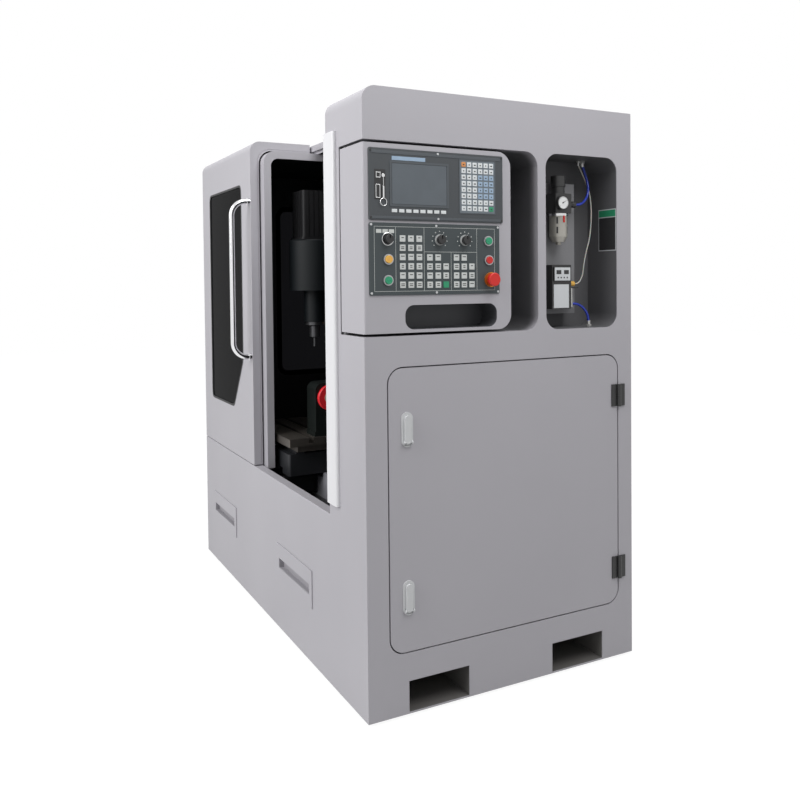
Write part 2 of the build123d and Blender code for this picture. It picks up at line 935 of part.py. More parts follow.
# Column casting with its foot flange and two guide ways for the head
with BuildPart() as column:
    column_middle = (machine_x, column_front + column_depth / 2)
    with BuildSketch(level(bed_top)):
        with Locations(column_middle):
            RectangleRounded(column_width, column_depth, column_flange)
    with BuildSketch(level(column_top)):
        with Locations(column_middle):
            RectangleRounded(column_width, column_depth, column_flange)
    loft()
    with BuildSketch(level(bed_top + casting_wall)):
        with Locations(column_middle):
            Rectangle(column_width - 2 * casting_wall, column_depth - 2 * casting_wall)
    extrude(amount=column_top - bed_top - 2 * casting_wall, mode=Mode.SUBTRACT)
    with BuildSketch(level(bed_top)):
        rect_between(
            machine_x - bed_top_width / 2, column_front, machine_x + bed_top_width / 2,
            column_front + column_depth + casting_wall,
        )
    extrude(amount=column_flange)
    with BuildSketch(level(column_way_bottom)):
        with Locations((machine_x, column_front - (column_way_depth - sheet) / 2)):
            with GridLocations(2 * column_way_offset, 1, 2, 1):
                Rectangle(column_way_width, column_way_depth + sheet)
    extrude(amount=column_top - column_way_bottom)
finish(column.part, "column", dark_casting)

# Servo motors of the Y and Z axes, on the bed's front face and on top of the column
with BuildPart() as axis_servos:
    servo_z = bed_top - servo_drop
    with BuildSketch(front_plane(bed_front)):
        with Locations((machine_x, servo_z)):
            RectangleRounded(servo_size, servo_size, servo_flange)
    extrude(amount=servo_flange)
    with BuildSketch(front_plane(bed_front - servo_flange)):
        with Locations((machine_x, servo_z)):
            RectangleRounded(servo_size - servo_flange, servo_size - servo_flange, servo_flange)
    extrude(amount=servo_length - servo_flange)
    with BuildSketch(level(column_top)):
        with Locations((machine_x, column_front + column_depth / 4)):
            RectangleRounded(servo_size + servo_flange, servo_size + servo_flange, servo_flange)
    extrude(amount=servo_flange)
    with BuildSketch(level(column_top + servo_flange)):
        with Locations((machine_x, column_front + column_depth / 4)):
            RectangleRounded(servo_size, servo_size, servo_flange)
    extrude(amount=servo_length)
finish(axis_servos.part, "axis_servos", black_plastic)

# Saddle of the Y axis with the two X rails on top
with BuildPart() as saddle:
    saddle_middle = (machine_x, table_middle_y)
    with BuildSketch(level(bed_top + seat_gap)):
        with Locations(saddle_middle):
            RectangleRounded(saddle_length, saddle_depth, servo_flange)
            Rectangle(saddle_bore_width, saddle_depth, mode=Mode.SUBTRACT)
    extrude(amount=way_height)
    with BuildSketch(level(bed_top + seat_gap + way_height)):
        with Locations(saddle_middle):
            RectangleRounded(saddle_length, saddle_depth, servo_flange)
    extrude(amount=saddle_top - saddle_rail - bed_top - seat_gap - way_height)
    with BuildSketch(level(saddle_top - saddle_rail)):
        with Locations(saddle_middle):
            with GridLocations(1, 2 * saddle_rail_offset, 1, 2):
                Rectangle(saddle_length, saddle_rail_width)
    extrude(amount=saddle_rail)
finish(saddle.part, "saddle", dark_casting)

# Work table with T-slots along X
with BuildPart() as table:
    with BuildSketch(level(table_top - table_slab)):
        with Locations((table_middle_x, table_middle_y)):
            RectangleRounded(table_length, table_width, sheet)
    extrude(amount=table_slab)
    with BuildSketch(level(keel_bottom)):
        with Locations((table_middle_x, table_middle_y)):
            Rectangle(table_length - 2 * servo_flange, table_keel_width)
    extrude(amount=table_keel)
    with BuildSketch(side_plane(table_right - table_length)):
        for side in (-1, 1):
            slot_y = table_middle_y + side * slot_pitch / 2
            rect_between(
                slot_y - slot_width / 2, table_top - slot_mouth - slot_foot,
                slot_y + slot_width / 2, table_top,
            )
            rect_between(
                slot_y - slot_foot_width / 2, table_top - slot_mouth - slot_foot,
                slot_y + slot_foot_width / 2, table_top - slot_mouth,
            )
    extrude(amount=table_length, mode=Mode.SUBTRACT)
finish(table.part, "table", steel)

# Servo motor of the X axis on the left end of the table
with BuildPart() as x_servo:
    x_servo_z = table_top - x_servo_drop
    with BuildSketch(side_plane(table_right - table_length + servo_flange)):
        rect_between(
            table_middle_y - servo_size / 2, x_servo_z - servo_size / 2,
            table_middle_y + servo_size / 2, table_top - table_slab,
        )
    extrude(amount=-servo_flange)
    with BuildSketch(side_plane(table_right - table_length)):
        with Locations((table_middle_y, x_servo_z)):
            RectangleRounded(servo_size, servo_size, servo_flange)
    extrude(amount=-servo_flange)
    with BuildSketch(side_plane(table_right - table_length - servo_flange)):
        with Locations((table_middle_y, x_servo_z)):
            RectangleRounded(servo_size - servo_flange, servo_size - servo_flange, servo_flange)
    extrude(amount=-servo_length)
finish(x_servo.part, "x_servo", black_plastic)

# Rotary unit on the table: foot, housing with a round top and a bore for the faceplate shaft
with BuildPart() as rotary_unit:
    with BuildSketch(side_plane(rotary_right)):
        rect_between(
            rotary_y - rotary_width / 2, table_top, rotary_y + rotary_width / 2,
            table_top + rotary_foot,
        )
        rect_between(
            rotary_y - rotary_radius, table_top, rotary_y + rotary_radius,
            rotary_z + rotary_radius,
        )
        fillet(vertices().group_by(Axis.Y)[-1], rotary_radius / 2)
    extrude(amount=-rotary_length)
    with BuildSketch(side_plane(rotary_right)):
        with Locations((rotary_y, rotary_z)):
            Circle(shaft_radius + running_clearance)
    extrude(amount=-shaft_length - seat_gap, mode=Mode.SUBTRACT)
finish(rotary_unit.part, "rotary_unit", (0.12, 0.17, 0.15))

# Faceplate of the rotary unit
with BuildPart() as rotary_faceplate:
    with BuildSketch(side_plane(rotary_right + seat_gap)):
        with Locations((rotary_y, rotary_z)):
            Circle(plate_radius)
    extrude(amount=plate_thickness)
    chamfer(rotary_faceplate.edges().group_by(Axis.X)[-1], edge_radius)
    with BuildSketch(side_plane(rotary_right + seat_gap + plate_thickness)):
        with Locations((rotary_y, rotary_z)):
            Circle(hub_radius)
            Circle(hub_radius / 3, mode=Mode.SUBTRACT)
    extrude(amount=hub_proud)
    with BuildSketch(side_plane(rotary_right + seat_gap)):
        with Locations((rotary_y, rotary_z)):
            Circle(shaft_radius)
    extrude(amount=-shaft_length)
finish(rotary_faceplate.part, "rotary_faceplate", (0.75, 0.1, 0.1))

# Spindle head: carriage on the column ways, arm with a round nose and the fixed quill
carriage_rear = column_front - column_way_depth - seat_gap
with BuildPart() as spindle_head:
    with BuildSketch(level(head_bottom)):
        with Locations((machine_x, spindle_y)):
            Circle(head_radius)
        rect_between(
            machine_x - head_radius, spindle_y, machine_x + head_radius,
            carriage_rear - carriage_depth,
        )
    extrude(amount=head_height)
    chamfer(spindle_head.edges().group_by(Axis.Z)[-1], edge_radius * 2)
    with BuildSketch(level(carriage_bottom)):
        rect_between(
            machine_x - carriage_width / 2, carriage_rear - carriage_depth,
            machine_x + carriage_width / 2, carriage_rear,
        )
    extrude(amount=carriage_height)
    with BuildSketch(level(head_bottom)):
        with Locations((machine_x, spindle_y)):
            Circle(quill_radius)
    extrude(amount=-quill_length)
    with BuildSketch(level(head_bottom - quill_length)):
        with Locations((machine_x, spindle_y)):
            Circle(spindle_radius + running_clearance)
    extrude(amount=quill_length + head_height, mode=Mode.SUBTRACT)
finish(spindle_head.part, "spindle_head", (0.27, 0.3, 0.34))

# Spindle motor on the head
with BuildPart() as spindle_motor:
    motor_bottom = head_bottom + head_height
    with BuildSketch(level(motor_bottom)):
        with Locations((machine_x, spindle_y)):
            RectangleRounded(motor_size + servo_flange, motor_size + servo_flange, servo_flange)
    extrude(amount=servo_flange)
    with BuildSketch(level(motor_bottom + servo_flange)):
        with Locations((machine_x, spindle_y)):
            RectangleRounded(motor_size, motor_size, servo_flange)
            with PolarLocations(motor_size / 2, 4):
                with GridLocations(servo_flange, servo_flange * 2, 1, 5):
                    Rectangle(servo_flange, servo_flange / 2, mode=Mode.SUBTRACT)
    extrude(amount=motor_height - servo_flange)
finish(spindle_motor.part, "spindle_motor", black_plastic)

# Rotating spindle with collet chuck and end mill, turned about one axis
with BuildPart() as spindle:
    quill_end = head_bottom - quill_length
    with BuildSketch(Plane.XZ.offset(-spindle_y)):
        with BuildLine():
            Polyline(
                (machine_x, head_bottom + head_height - seat_gap),
                (machine_x + spindle_radius, head_bottom + head_height - seat_gap),
                (machine_x + spindle_radius, quill_end - seat_gap),
                (machine_x + nose_radius, quill_end - seat_gap),
                (machine_x + nose_radius, quill_end - seat_gap - nose_length),
                (machine_x + chuck_radius + sheet, quill_end - nose_length - sheet),
                (machine_x + chuck_radius, quill_end - nose_length - sheet * 2),
                (machine_x + chuck_radius, quill_end - nose_length - chuck_length + sheet),
                (machine_x + chuck_radius - sheet, quill_end - nose_length - chuck_length),
                (machine_x + tool_radius, quill_end - nose_length - chuck_length),
                (machine_x + tool_radius, quill_end - nose_length - chuck_length - tool_length),
                (machine_x, quill_end - nose_length - chuck_length - tool_length),
                close=True,
            )
        make_face()
    revolve(axis=Axis((machine_x, spindle_y, 0), (0, 0, 1)))
finish(spindle.part, "spindle", steel)

# Sliding door: a folded pan that covers the front and the roof opening
with BuildPart() as sliding_door:
    with BuildSketch(side_plane(x_left)):
        wrap_section(
            y_front, door_bottom, body_height, door_rear, door_depth, roof_radius,
            door_inner_radius,
        )
    extrude(amount=door_width)
    with BuildSketch(side_plane(x_left + sheet)):
        wrap_section(
            y_front + sheet, door_bottom + sheet, body_height - sheet, door_rear - sheet,
            door_depth, roof_radius - sheet, door_inner_radius,
        )
    extrude(amount=door_width - 2 * sheet, mode=Mode.SUBTRACT)
    with BuildSketch(front_plane(y_front)) as window_opening:
        window_left = x_left + window_inset_left
        window_right = x_left + door_width - window_inset_right
        with BuildLine():
            Polyline(
                (window_left, window_bottom),
                (window_left, window_top),
                (window_right, window_top),
                (window_right, window_bottom + window_slant_rise),
                (window_right - window_slant_run, window_bottom),
                close=True,
            )
        make_face()
        fillet(vertices(), window_radius)
    extrude(amount=-sheet, mode=Mode.SUBTRACT)
    for end in (x_left + shoe_inset, x_left + door_width - shoe_inset):
        with BuildSketch(level(sill_height + seat_gap)):
            with Locations((end, y_front + sill_depth / 2)):
                Rectangle(shoe_length, glide_width)
        extrude(amount=door_bottom_gap - seat_gap)
        with BuildSketch(front_plane(door_rear)):
            with Locations((end, body_height - rail_drop - rail_height / 2)):
                Rectangle(shoe_length, rail_height)
        extrude(amount=-(cover_gap - rail_depth - shoe_gap))
finish(sliding_door.part, "sliding_door", grey_paint)

# Smoked pane behind the door skin
with BuildPart() as door_window:
    with BuildSketch(front_plane(y_front + sheet)):
        with BuildLine():
            Polyline(
                (window_left, window_bottom),
                (window_left, window_top),
                (window_right, window_top),
                (window_right, window_bottom + window_slant_rise),
                (window_right - window_slant_run, window_bottom),
                close=True,
            )
        make_face()
        fillet(vertices(), window_radius)
        offset(amount=pane_lap)
    extrude(amount=-pane)
finish(door_window.part, "door_window", (0.08, 0.08, 0.09))

# Tubular door handle with a collar at each end
with BuildPart() as door_handle:
    handle_x = x_left + door_width - handle_inset
    handle_axis = y_front - handle_reach + handle_tube / 2
    with BuildLine(side_plane(handle_x)) as handle_path:
        FilletPolyline(
            (y_front, handle_top),
            (handle_axis, handle_top),
            (handle_axis, handle_top - handle_length),
            (y_front, handle_top - handle_length),
            radius=handle_bend,
        )
    with BuildSketch(Plane(origin=(handle_x, y_front, handle_top), z_dir=(0, -1, 0))):
        Circle(handle_tube / 2)
    sweep(path=handle_path.wires()[0])
    with BuildSketch(front_plane(y_front)):
        with Locations((handle_x, handle_top), (handle_x, handle_top - handle_length)):
            Circle(collar_radius)
    extrude(amount=collar_length)
finish(door_handle.part, "door_handle", steel)

# Door of the electrical compartment
with BuildPart() as electrical_door:
    with BuildSketch(side_plane(x_right)):
        round_rect_between(
            panel_near, panel_door_bottom, panel_far, panel_top, panel_door_radius
        )
    extrude(amount=-panel_door_depth)
    with BuildSketch(side_plane(x_right - sheet)):
        round_rect_between(
            panel_near + sheet, panel_door_bottom + sheet, panel_far - sheet,
            panel_top - sheet, panel_door_radius - sheet,
        )
    extrude(amount=-panel_door_depth, mode=Mode.SUBTRACT)
finish(electrical_door.part, "electrical_door", grey_paint)

# Hinge leaves on the side panel, with the lower knuckles and the pins
with BuildPart() as fixed_hinge_leaves:
    for middle in hinge_levels:
        bottom = middle - hinge_height / 2
        with BuildSketch(side_plane(x_right)):
            rect_between(
                y_hinge + knuckle_radius + seat_gap, bottom,
                y_hinge + knuckle_radius + hinge_leaf, bottom + hinge_height,
            )
            rect_between(y_hinge, bottom, y_hinge + hinge_leaf, middle - seat_gap)
        extrude(amount=hinge_thickness)
        with Locations((x_hinge, y_hinge, bottom)):
            Cylinder(
                knuckle_radius, hinge_height / 2 - seat_gap,
                align=(Align.CENTER, Align.CENTER, Align.MIN),
            )
            Cylinder(
                hinge_pin_radius, hinge_height,
                align=(Align.CENTER, Align.CENTER, Align.MIN),
            )
finish(fixed_hinge_leaves.part, "fixed_hinge_leaves", black_plastic)

# Hinge leaves on the compartment door, with the upper knuckles
with BuildPart() as door_hinge_leaves:
    for middle in hinge_levels:
        bottom = middle - hinge_height / 2
        with BuildSketch(side_plane(x_right)):
            rect_between(
                y_hinge - knuckle_radius - hinge_leaf, bottom,
                y_hinge - knuckle_radius - seat_gap, bottom + hinge_height,
            )
            rect_between(
                y_hinge - hinge_leaf, middle, y_hinge, bottom + hinge_height
            )
        extrude(amount=hinge_thickness)
        with Locations((x_hinge, y_hinge, middle)):
            Cylinder(
                knuckle_radius, hinge_height / 2,
                align=(Align.CENTER, Align.CENTER, Align.MIN),
            )
            Cylinder(
                hinge_pin_radius + running_clearance, hinge_height / 2,
                align=(Align.CENTER, Align.CENTER, Align.MIN), mode=Mode.SUBTRACT,
            )
finish(door_hinge_leaves.part, "door_hinge_leaves", black_plastic)

# Oval plates of the two latches, each with a pair of ears for its lever
latch_y = panel_near + latch_offset
lever_axis_x = x_right + latch_base + ear_radius
with BuildPart() as latch_bases:
    for middle in latch_levels:
        pin_z = middle - lever_length / 2 + ear_radius
        with BuildSketch(side_plane(x_right)):
            with Locations((latch_y, middle)):
                SlotOverall(latch_length, latch_width, rotation=90)
        extrude(amount=latch_base)
        with BuildSketch(side_plane(x_right + latch_base)):
            with Locations((latch_y, pin_z)):
                Rectangle(lever_width + 2 * seat_gap, 4 * ear_radius)
        extrude(amount=-heel_recess, mode=Mode.SUBTRACT)
        for side in (-1, 1):
            ear_y = latch_y + side * (lever_width / 2 + seat_gap + ear_thickness / 2)
            with BuildSketch(front_plane(ear_y)):
                with Locations((lever_axis_x, pin_z)):
                    Circle(ear_radius)
                    Circle(lever_pin_radius + running_clearance, mode=Mode.SUBTRACT)
            extrude(amount=ear_thickness / 2, both=True)
finish(latch_bases.part, "latch_bases", (0.8, 0.8, 0.82))

# Latch levers, each turning on its own cross pin
for name, middle in zip(("latch_lever_lower", "latch_lever_upper"), latch_levels):
    pin_z = middle - lever_length / 2 + ear_radius
    with BuildPart() as latch_lever:
        with BuildSketch(side_plane(x_right + latch_base + 2 * seat_gap)):
            with Locations((latch_y, middle)):
                SlotOverall(lever_length, lever_width, rotation=90)
        extrude(amount=lever_thickness)
        chamfer(latch_lever.edges().group_by(Axis.X)[-1], 1)
        with BuildSketch(front_plane(latch_y)):
            with Locations((lever_axis_x, pin_z)):
                Circle(lever_pin_radius)
        extrude(amount=lever_width / 2 + ear_thickness, both=True)
    finish(latch_lever.part, name, (0.85, 0.85, 0.87))

# Electrical parts on their backplate: drives, inverter, cable ducts and terminals
with BuildPart() as cabinet_electrics:
    plate_x = x_column + sheet + backplate_standoff
    with BuildSketch(side_plane(plate_x)):
        rect_between(
            plate_near, backplate_bottom, plate_near + backplate_length,
            backplate_bottom + backplate_height,
        )
    extrude(amount=sheet)
    with BuildSketch(side_plane(x_column + sheet)):
        with Locations((plate_near + backplate_length / 2, backplate_bottom + backplate_height / 2)):
            with GridLocations(
                backplate_length - 2 * duct_width, backplate_height - 2 * duct_width, 2, 2
            ):
                Circle(stud_radius)
    extrude(amount=backplate_standoff)
    with BuildSketch(side_plane(plate_x + sheet)):
        for duct_z in (backplate_bottom + duct_width / 2, drive_bottom - duct_width):
            rect_between(
                plate_near + duct_width, duct_z, plate_near + backplate_length - duct_width,
                duct_z + duct_width,
            )
    extrude(amount=duct_depth)
    with BuildSketch(side_plane(plate_x + sheet)):
        for drive in range(drive_count):
            near = plate_near + drive_inset + drive * drive_pitch
            rect_between(near, drive_bottom, near + drive_width, drive_bottom + drive_height)
    extrude(amount=drive_depth)
    with BuildSketch(side_plane(plate_x + sheet)):
        near = plate_near + drive_inset + drive_count * drive_pitch + duct_width
        rect_between(near, drive_bottom, near + inverter_width, drive_bottom + inverter_height)
    extrude(amount=inverter_depth)
    with BuildSketch(side_plane(plate_x + sheet)):
        with Locations((plate_near + backplate_length / 2, (backplate_bottom + drive_bottom) / 2)):
            with GridLocations(terminal_pitch, 1, terminal_count, 1):
                Rectangle(terminal_width, duct_width * 2)
            Rectangle(backplate_length - 4 * duct_width, duct_width / 2)
    extrude(amount=duct_width)
finish(cabinet_electrics.part, "cabinet_electrics", (0.75, 0.75, 0.72))

# Control box: hollow, rounded at its free end, with cut-outs for the two units and the pocket
with BuildPart() as control_box:
    with BuildSketch(side_plane(control_left)):
        rear_rounded(control_near, control_bottom, control_far, control_top, control_radius)
    extrude(amount=x_right - control_left)
    corner_edge = control_box.edges().filter_by(Axis.Z).sort_by_distance(
        (x_right, y_front, control_bottom)
    )[0]
    fillet(corner_edge, edge_radius * 2)
    with BuildSketch(side_plane(control_left + control_wall)):
        rear_rounded(
            control_near + control_wall, control_bottom + control_wall,
            control_far - control_wall, control_top - control_wall,
            control_radius - control_wall,
        )
    extrude(amount=x_right - control_left - 2 * control_wall, mode=Mode.SUBTRACT)
    with BuildSketch(side_plane(x_right - control_wall)):
        for bottom, length, height in (
            (display_bottom, display_length, display_height),
            (operator_bottom, operator_length, operator_height),
        ):
            rect_between(
                y_front + unit_near + unit_margin, bottom + unit_margin,
                y_front + unit_near + length - unit_margin, bottom + height - unit_margin,
            )
    extrude(amount=control_wall, mode=Mode.SUBTRACT)
    with BuildSketch(side_plane(x_right)):
        round_rect_between(
            y_front + pocket_near - liner, pocket_bottom - liner,
            y_front + pocket_near + pocket_length + liner,
            pocket_bottom + pocket_height + liner, pocket_radius + liner,
        )
    extrude(amount=-pocket_depth - liner)
    with BuildSketch(side_plane(x_right)):
        round_rect_between(
            y_front + pocket_near, pocket_bottom, y_front + pocket_near + pocket_length,
            pocket_bottom + pocket_height, pocket_radius,
        )
    extrude(amount=-pocket_depth, mode=Mode.SUBTRACT)
    with Locations((pivot_x, pivot_y, control_bottom + pivot_engagement / 2)):
        Cylinder(pivot_collar, pivot_engagement + 2 * control_wall)
    with Locations((pivot_x, pivot_y, control_top - pivot_engagement / 2)):
        Cylinder(pivot_collar, pivot_engagement + 2 * control_wall)
    with BuildSketch(level(control_bottom)):
        rect_between(
            control_left, y_front, control_left + 2 * pivot_inset, y_front + 2 * pivot_inset
        )
        with Locations((pivot_x, pivot_y)):
            Circle(pivot_radius + running_clearance, mode=Mode.SUBTRACT)
    extrude(amount=pivot_engagement + seat_gap)
    with BuildSketch(level(control_top)):
        rect_between(
            control_left, y_front, control_left + 2 * pivot_inset, y_front + 2 * pivot_inset
        )
        with Locations((pivot_x, pivot_y)):
            Circle(pivot_radius + running_clearance, mode=Mode.SUBTRACT)
    extrude(amount=-pivot_engagement - seat_gap)
    with BuildSketch(level(control_bottom - control_gap)):
        with Locations((pivot_x, pivot_y)):
            Circle(pivot_collar + 2 * seat_gap)
    extrude(amount=control_gap, mode=Mode.SUBTRACT)
    with BuildSketch(level(control_top)):
        with Locations((pivot_x, pivot_y)):
            Circle(pivot_collar + 2 * seat_gap)
    extrude(amount=control_gap, mode=Mode.SUBTRACT)
    with BuildSketch(level(control_bottom)):
        with Locations((pivot_x, pivot_y)):
            Circle(pivot_radius + running_clearance)
    extrude(amount=pivot_engagement + seat_gap, mode=Mode.SUBTRACT)
    with BuildSketch(level(control_top)):
        with Locations((pivot_x, pivot_y)):
            Circle(pivot_radius + running_clearance)
    extrude(amount=-pivot_engagement - seat_gap, mode=Mode.SUBTRACT)
finish(control_box.part, "control_box", grey_paint)

# Display unit with its body behind the front sheet
with BuildPart() as display_unit:
    with BuildSketch(side_plane(x_right)):
        round_rect_between(
            y_front + unit_near, display_bottom, y_front + unit_near + display_length,
            display_bottom + display_height, unit_radius,
        )
    extrude(amount=unit_thickness)
    chamfer(display_unit.edges().group_by(Axis.X)[-1], 1)
    with BuildSketch(side_plane(x_right)):
        rect_between(
            y_front + unit_near + unit_margin + seat_gap, display_bottom + unit_margin + seat_gap,
            y_front + unit_near + display_length - unit_margin - seat_gap,
            display_bottom + display_height - unit_margin - seat_gap,
        )
    extrude(amount=-unit_body_depth)
finish(display_unit.part, "display_unit", (0.18, 0.2, 0.22))

# Screen pane
with BuildPart() as display_screen:
    with BuildSketch(side_plane(unit_face)):
        round_rect_between(
            y_front + screen_near, screen_bottom, y_front + screen_near + screen_length,
            screen_bottom + screen_height, sheet,
        )
    extrude(amount=screen_proud)
finish(display_screen.part, "display_screen", (0.05, 0.05, 0.06))

# Operator panel with a clearance hole for each button and knob
button_places = (yellow_place, green_left_place, green_right_place, red_place)
knob_places = (selector_place, feed_place, speed_place)
with BuildPart() as operator_panel:
    with BuildSketch(side_plane(x_right)):
        round_rect_between(
            y_front + unit_near, operator_bottom, y_front + unit_near + operator_length,
            operator_bottom + operator_height, unit_radius,
        )
    extrude(amount=unit_thickness)
    chamfer(operator_panel.edges().group_by(Axis.X)[-1], 1)
    with BuildSketch(side_plane(x_right)):
        rect_between(
            y_front + unit_near + unit_margin + seat_gap, operator_bottom + unit_margin + seat_gap,
            y_front + unit_near + operator_length - unit_margin - seat_gap,
            operator_bottom + operator_height - unit_margin - seat_gap,
        )
    extrude(amount=-stem_depth - control_wall)
    with BuildSketch(side_plane(unit_face)):
        with Locations(*[near_point(place) for place in button_places + knob_places + (estop_place,)]):
            Circle(cap_stem_radius + stem_gap)
    extrude(amount=-unit_thickness - stem_depth, mode=Mode.SUBTRACT)
finish(operator_panel.part, "operator_panel", (0.2, 0.22, 0.24))

# Keys of both units
with BuildPart() as panel_keys:
    left_rows = [key_top_row - row * key_pitch for row in range(6)]
    lower_rows = [key_lower_row - row * key_pitch for row in range(4)]
    key_places = [(column, row) for column in key_columns_left for row in left_rows]
    key_places += [(column, row) for column in key_columns_middle for row in lower_rows]
    key_places += [(column, row) for column in key_columns_right for row in lower_rows]
    with BuildSketch(side_plane(unit_face)):
        with Locations(*[(y_front + column, row) for column, row in key_places]):
            Rectangle(key_size, key_size)
    extrude(amount=key_height)
    with BuildSketch(side_plane(unit_face)):
        with Locations((y_front + small_key_middle_y, small_key_middle_z)):
            with GridLocations(
                small_key_pitch_y, small_key_pitch_z, small_key_columns, small_key_rows
            ):
                Rectangle(small_key_size, small_key_size)
        for key in range(soft_key_count):
            with Locations((y_front + soft_key_first + key * soft_key_pitch, soft_key_level)):
                Rectangle(small_key_size * 1.2, small_key_size * 0.7)
    extrude(amount=small_key_height)
finish(panel_keys.part, "panel_keys", (0.85, 0.86, 0.84))

# Bezel rings round the buttons and the stop button
with BuildPart() as button_bezels:
    with BuildSketch(side_plane(unit_face)):
        with Locations(*[near_point(place) for place in button_places]):
            Circle(bezel_radius)
            Circle(cap_radius + 2 * stem_gap, mode=Mode.SUBTRACT)
        with Locations(near_point(estop_place)):
            Circle(estop_bezel_radius)
            Circle(estop_neck + 2 * stem_gap, mode=Mode.SUBTRACT)
    extrude(amount=bezel_height)
finish(button_bezels.part, "button_bezels", (0.6, 0.6, 0.6))

# Push buttons: cap in the bezel and stem in the panel hole
for name, place, colour in (
    ("yellow_button", yellow_place, (0.9, 0.75, 0.1)),
    ("green_button_left", green_left_place, (0.1, 0.6, 0.3)),
    ("green_button_right", green_right_place, (0.1, 0.6, 0.3)),
    ("red_button", red_place, (0.8, 0.1, 0.1)),
):
    with BuildPart() as push_button:
        with BuildSketch(side_plane(unit_face + bezel_height)):
            with Locations(near_point(place)):
                Circle(cap_radius)
        extrude(amount=cap_height - bezel_height)
        chamfer(push_button.edges().group_by(Axis.X)[-1], 1)
        with BuildSketch(side_plane(unit_face + bezel_height)):
            with Locations(near_point(place)):
                Circle(cap_stem_radius)
        extrude(amount=-bezel_height - unit_thickness)
    finish(push_button.part, name, colour)

# Stop button: mushroom head on a neck
with BuildPart() as estop_button:
    head_base = unit_face + control_reach - unit_thickness - estop_head
    with BuildSketch(side_plane(head_base)):
        with Locations(near_point(estop_place)):
            Circle(estop_radius)
    extrude(amount=estop_head)
    chamfer(estop_button.edges().group_by(Axis.X)[-1], edge_radius)
    with BuildSketch(side_plane(head_base)):
        with Locations(near_point(estop_place)):
            Circle(estop_neck)
    extrude(amount=-(head_base - unit_face - estop_stroke_room))
    with BuildSketch(side_plane(unit_face + estop_stroke_room)):
        with Locations(near_point(estop_place)):
            Circle(cap_stem_radius)
    extrude(amount=-estop_stroke_room - unit_thickness)
finish(estop_button.part, "estop_button", (0.8, 0.08, 0.08))

# Rotary switches: skirt, grip with a flattened wing and a stem in the panel hole
for name, place, colour in (
    ("selector_knob", selector_place, black_plastic),
    ("feed_knob", feed_place, black_plastic),
    ("speed_knob", speed_place, black_plastic),
):
    with BuildPart() as knob:
        with BuildSketch(side_plane(unit_face + seat_gap)):
            with Locations(near_point(place)):
                Circle(knob_skirt_radius)
        extrude(amount=knob_skirt)
        with BuildSketch(side_plane(unit_face + seat_gap + knob_skirt)):
            with Locations(near_point(place)):
                Circle(knob_radius)
        extrude(amount=knob_height)
        chamfer(knob.edges().group_by(Axis.X)[-1], 1)
        with BuildSketch(side_plane(unit_face + seat_gap + knob_skirt)):
            with Locations(near_point(place)):
                RectangleRounded(knob_radius / 2, 2.3 * knob_radius, knob_radius / 5)
        extrude(amount=knob_height)
        with BuildSketch(side_plane(unit_face + seat_gap)):
            with Locations(near_point(place)):
                Circle(cap_stem_radius)
        extrude(amount=-unit_thickness)
    finish(knob.part, name, colour)

# Chip drawers: an open box behind a lapped front with a grip slot
for name, place in zip(("chip_drawer_left", "chip_drawer_right"), drawer_places):
    box_half = drawer_box_width / 2
    slot_bottom = drawer_front_bottom + drawer_slot_rise
    with BuildPart() as drawer:
        with BuildSketch(front_plane(y_front - seat_gap)):
            rect_between(
                place - drawer_front_width / 2, drawer_front_bottom,
                place + drawer_front_width / 2, drawer_front_bottom + drawer_front_height,
            )
        extrude(amount=sheet)
        with BuildSketch(front_plane(y_front - seat_gap)):
            rect_between(
                place - box_half, drawer_box_bottom, place + box_half,
                drawer_box_bottom + drawer_box_height,
            )
        extrude(amount=-drawer_box_depth)
        with BuildSketch(level(drawer_box_bottom + liner)):
            rect_between(
                place - box_half + liner, y_front, place + box_half - liner,
                y_front + drawer_box_depth - seat_gap - liner,
            )
        extrude(amount=drawer_box_height, mode=Mode.SUBTRACT)
        with BuildSketch(front_plane(y_front - seat_gap - sheet)):
            rect_between(
                place - drawer_slot_length / 2, slot_bottom, place + drawer_slot_length / 2,
                slot_bottom + drawer_slot_height,
            )
        extrude(amount=-2 * sheet, mode=Mode.SUBTRACT)
    finish(drawer.part, name, grey_paint)

# Folded box in the niche that carries the air parts, open to the niche back
with BuildPart() as air_mount_box:
    with BuildSketch(side_plane(niche_back)):
        rect_between(
            niche_near, recess_bottom + recess_radius, niche_near + mount_box_length,
            mount_box_top,
        )
    extrude(amount=mount_box_depth)
    with BuildSketch(side_plane(niche_back)):
        rect_between(
            niche_near + sheet, recess_bottom + recess_radius + sheet,
            niche_near + mount_box_length - sheet, mount_box_top - sheet,
        )
    extrude(amount=mount_box_depth - sheet, mode=Mode.SUBTRACT)
finish(air_mount_box.part, "air_mount_box", (0.5, 0.5, 0.52))

# Filter regulator: block, bonnet, outlet port and the bulkhead fittings of the tubes
with BuildPart() as air_regulator:
    block_bottom = regulator_z - regulator_block_height / 2
    block_top = regulator_z + regulator_block_height / 2
    with BuildSketch(level(block_bottom)):
        with Locations((regulator_x, regulator_y)):
            RectangleRounded(regulator_block, regulator_block, servo_flange)
    extrude(amount=regulator_block_height)
    with BuildSketch(level(block_top)):
        with Locations((regulator_x, regulator_y)):
            Circle(bonnet_radius)
    extrude(amount=bonnet_height)
    with BuildSketch(side_plane(mount_face)):
        with Locations((regulator_y, regulator_z)):
            Rectangle(regulator_block / 2, regulator_block_height / 2)
    extrude(amount=regulator_x - mount_face)
    with BuildSketch(front_plane(regulator_y + regulator_block / 2)):
        with Locations((regulator_x, regulator_z)):
            Circle(port_radius)
    extrude(amount=-port_length)
finish(air_regulator.part, "air_regulator", black_plastic)

